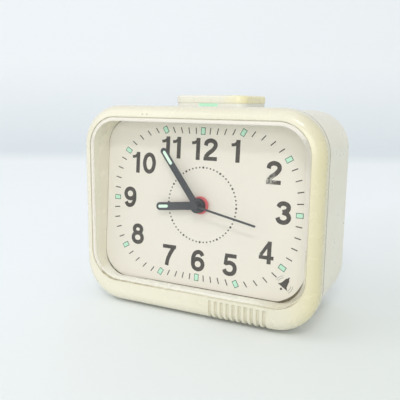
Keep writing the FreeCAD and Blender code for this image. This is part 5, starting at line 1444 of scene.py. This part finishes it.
        # A dark strip laid on the card as painted shadow along the window's wall.
        self.lay("dial_gap_shadow", GAP_SHADOW, "hand_paint", self.gap_shadow_strip())
        self.lay("dial_minute_track", FINE_INK, "hand_paint",
                 prisms(rectangle(*self.tick), *self.on_track(minutes[~heavy]), top))
        self.lay("dial_mark_edges", EDGE_INK, "hand_paint",
                 prisms(rectangle(*self.mark), *hours, top))
        self.lay("dial_mark_lume", MARK, "lume", prisms(inner, *hours, self.lume_thick))
        self.lay("dial_seconds_ring", INK, "hand_paint", *dots)


# ---------------------------------------------------------------- the setting

def stand(name: str, data: bpy.types.Camera | bpy.types.Light, axes: tuple[np.ndarray, ...],
          place: np.ndarray) -> Piece:
    """Put a camera or a lamp at a place.

    Args:
        name: its name.
        data: what it is.
        axes: its right, up and back.
        place: where it stands.

    Returns:
        The object.
    """
    matrix = np.eye(4)
    matrix[:3] = np.stack([*axes, place], axis=1)
    thing = bpy.data.objects.new(name, data)
    thing.matrix_world = Matrix(matrix.tolist())
    bpy.context.scene.collection.objects.link(thing)
    return thing


@dataclass
class Studio:
    """Pale floor that sweeps up into a wall, soft lamps and the camera."""

    space: ClockSpace
    lens: float = 48.49
    sensor: float = 36.0
    nearest: float = 0.01
    azimuth: float = 26.606
    elevation: float = 10.326
    roll: float = 0.656
    distance: float = 253.7
    shift: Pair = (-0.71, 2.41)
    half_floor: float = 2.5
    floor_end: float = 0.95
    cove: float = 0.25
    wall_top: float = 1.8
    floor_colour: Colour = (0.915, 0.955, 0.975)
    # Painted shade on the floor towards the camera's right and near side.
    floor_shaded: Colour = (0.74, 0.775, 0.715)
    edge_colour: Colour = (0.78, 0.84, 0.875)
    wall_colour: Colour = (0.92, 0.95, 0.97)
    mottled: Colour = (0.90, 0.92, 0.93)
    lifted: float = 0.40
    lift_from: Pair = (0.10, 0.30)
    room_light: Colour = (0.97, 0.985, 1.0)
    room_power: float = 0.74
    room_seen: Colour = (0.80, 0.84, 0.88)

    def ground(self) -> tuple[np.ndarray, np.ndarray]:
        """Level directions to the camera's right and ahead of it."""
        az = math.radians(self.azimuth)
        return (np.array([math.cos(az), math.sin(az), 0.0]),
                np.array([-math.sin(az), math.cos(az), 0.0]))

    def camera(self) -> None:
        """Stand the camera where its distance and shift put it."""
        aside, ahead = self.ground()
        el, roll = math.radians(self.elevation), math.radians(self.roll)
        back = np.array([0.0, 0.0, math.sin(el)]) - math.cos(el) * ahead
        upright = np.cross(back, aside)
        right = math.cos(roll) * aside + math.sin(roll) * upright
        up = -math.sin(roll) * aside + math.cos(roll) * upright
        offset = self.distance * back + self.shift[0] * right + self.shift[1] * up
        data = bpy.data.cameras.new("clock_camera")
        data.lens, data.sensor_width, data.clip_start = self.lens, self.sensor, self.nearest
        bpy.context.scene.camera = stand("clock_camera", data, (right, up, back),
                                         self.space.centre + MM * offset)

    def backdrop(self) -> None:
        """Sweep a line: flat floor, quarter-round cove, upright wall, square to the camera's view.

        Away from the clock, where it is seen, the sweep gives some of its
        colour as plain light.
        """
        aside, ahead = self.ground()
        bend, end = np.linspace(0.0, QUARTER, 24), self.floor_end
        along = np.concatenate([[-self.half_floor, 0.0], end + self.cove * np.sin(bend),
                                [end + self.cove]])
        lift = np.concatenate([[0.0, 0.0], self.cove - self.cove * np.cos(bend), [self.wall_top]])
        across = np.array([-self.half_floor, self.half_floor])
        grid = (along[:, None, None] * ahead + across[None, :, None] * aside
                + lift[:, None, None] * np.array([0.0, 0.0, 1.0]))
        sweep = put_mesh("sweep", (grid.reshape(-1, 3), grid_quads(len(along), 2, False, False)))
        pen = ShaderPen("pale_sweep")
        # Painted shade: the floor turns darker and greener towards the camera's right and near
        # side.
        near = pen.spread(pen.along(aside - ahead), -0.1, 0.35)
        tint = pen.blend(near, self.floor_colour, self.floor_shaded)
        tint = pen.blend(pen.spread(pen.along(ahead), 0.62, 0.80), tint, self.edge_colour)
        tint = pen.blend(pen.ramp("Z", 0.0, 0.2), tint, self.wall_colour)
        tint = pen.blend(pen.patches(2.0, 2.0, 0.3, 0.7, 0.0, 0.12), tint, self.mottled)
        pen.finish(tint, pen.patches(8.0, 3.0, 0.3, 0.7, 0.7, 0.8))
        seen = pen.rays("Is Camera Ray", "Is Glossy Ray", "Is Transmission Ray")
        share = pen.spread(pen.away(), *self.lift_from, 0.0, self.lifted)
        pen.show(pen.times(seen, share), pen.surface, pen.add("Emission", {"Color": tint}))
        dress(sweep, pen.material)

    def lamp(self, name: str, place: Place, size: Pair, power: float, tint: Colour) -> None:
        """Soft lamp aimed at the dial's middle.

        Args:
            name: its name.
            place: metres from the dial's middle to the camera's right, ahead of it, and up.
            size: width and height of its panel.
            power: watts.
            tint: colour.
        """
        aside, ahead = self.ground()
        offset = place[0] * aside + place[1] * ahead + np.array([0.0, 0.0, place[2]])
        data = bpy.data.lights.new(name, "AREA")
        data.shape, data.energy, data.color = "RECTANGLE", power, tint
        data.size, data.size_y = size
        back = unit(offset)
        right = unit(np.cross([0.0, 0.0, 1.0], back))
        stand(name, data, (right, np.cross(back, right), back), self.space.centre + offset)

    def world(self) -> None:
        """Even pale light all round, brighter where the camera sees it straight."""
        world = bpy.data.worlds.new("pale_room")
        pen = NodePen(world, "World")
        light = pen.add("Background", {"Color": self.room_light, "Strength": self.room_power})
        pen.show(pen.rays("Is Camera Ray"), light, pen.add("Background", {"Color": self.room_seen}))
        bpy.context.scene.world = world

    def build(self) -> None:
        """Set the stage."""
        self.camera()
        self.backdrop()
        self.world()
        self.lamp("key", (-0.12, -0.85, 0.85), (0.30, 0.07), 2.4, (1.0, 0.99, 0.97))
        self.lamp("fill", (-0.15, -1.3, 0.14), (0.9, 0.9), 7.2, (1.0, 0.985, 0.965))
        self.lamp("window", (-1.3, -0.2, 0.9), (1.2, 1.2), 3.5, (0.97, 0.985, 1.0))
        bpy.context.scene.view_settings.view_transform = "Standard"


def corners(bounds: tuple) -> list[list[float]]:
    """Bounds as plain lists."""
    return [[float(v) for v in corner] for corner in bounds]


def main() -> None:
    """Load the solids, dress them, add the new pieces and set the stage."""
    logging.basicConfig(level=logging.INFO, format="%(name)s: %(message)s")
    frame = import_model()
    bpy.context.view_layer.update()
    nodes, joints = frame["nodes"], frame["joints"]
    space = ClockSpace.from_joint(joints)
    card = Rubbed("dial_card", (0.75, 0.715, 0.655), (0.74, 0.705, 0.64), 0.55, patch=25.0,
                  smudge=plain(space.dial(np.array(WORN_PLACE))))
    for finish, names in (*NODE_FINISH.items(), (card, ("dial_face",))):
        for name in names:
            dress(nodes[name], finish.material())
    knobs = (SettingKnob(joints, which) for which in ("time", "alarm"))
    for part in (CaseFront(space), Lens(space), AlarmButton(), BowedSpring(), *knobs, Dial(space),
                 Studio(space)):
        part.build()
    bpy.context.view_layer.update()


if __name__ == "__main__":
    main()
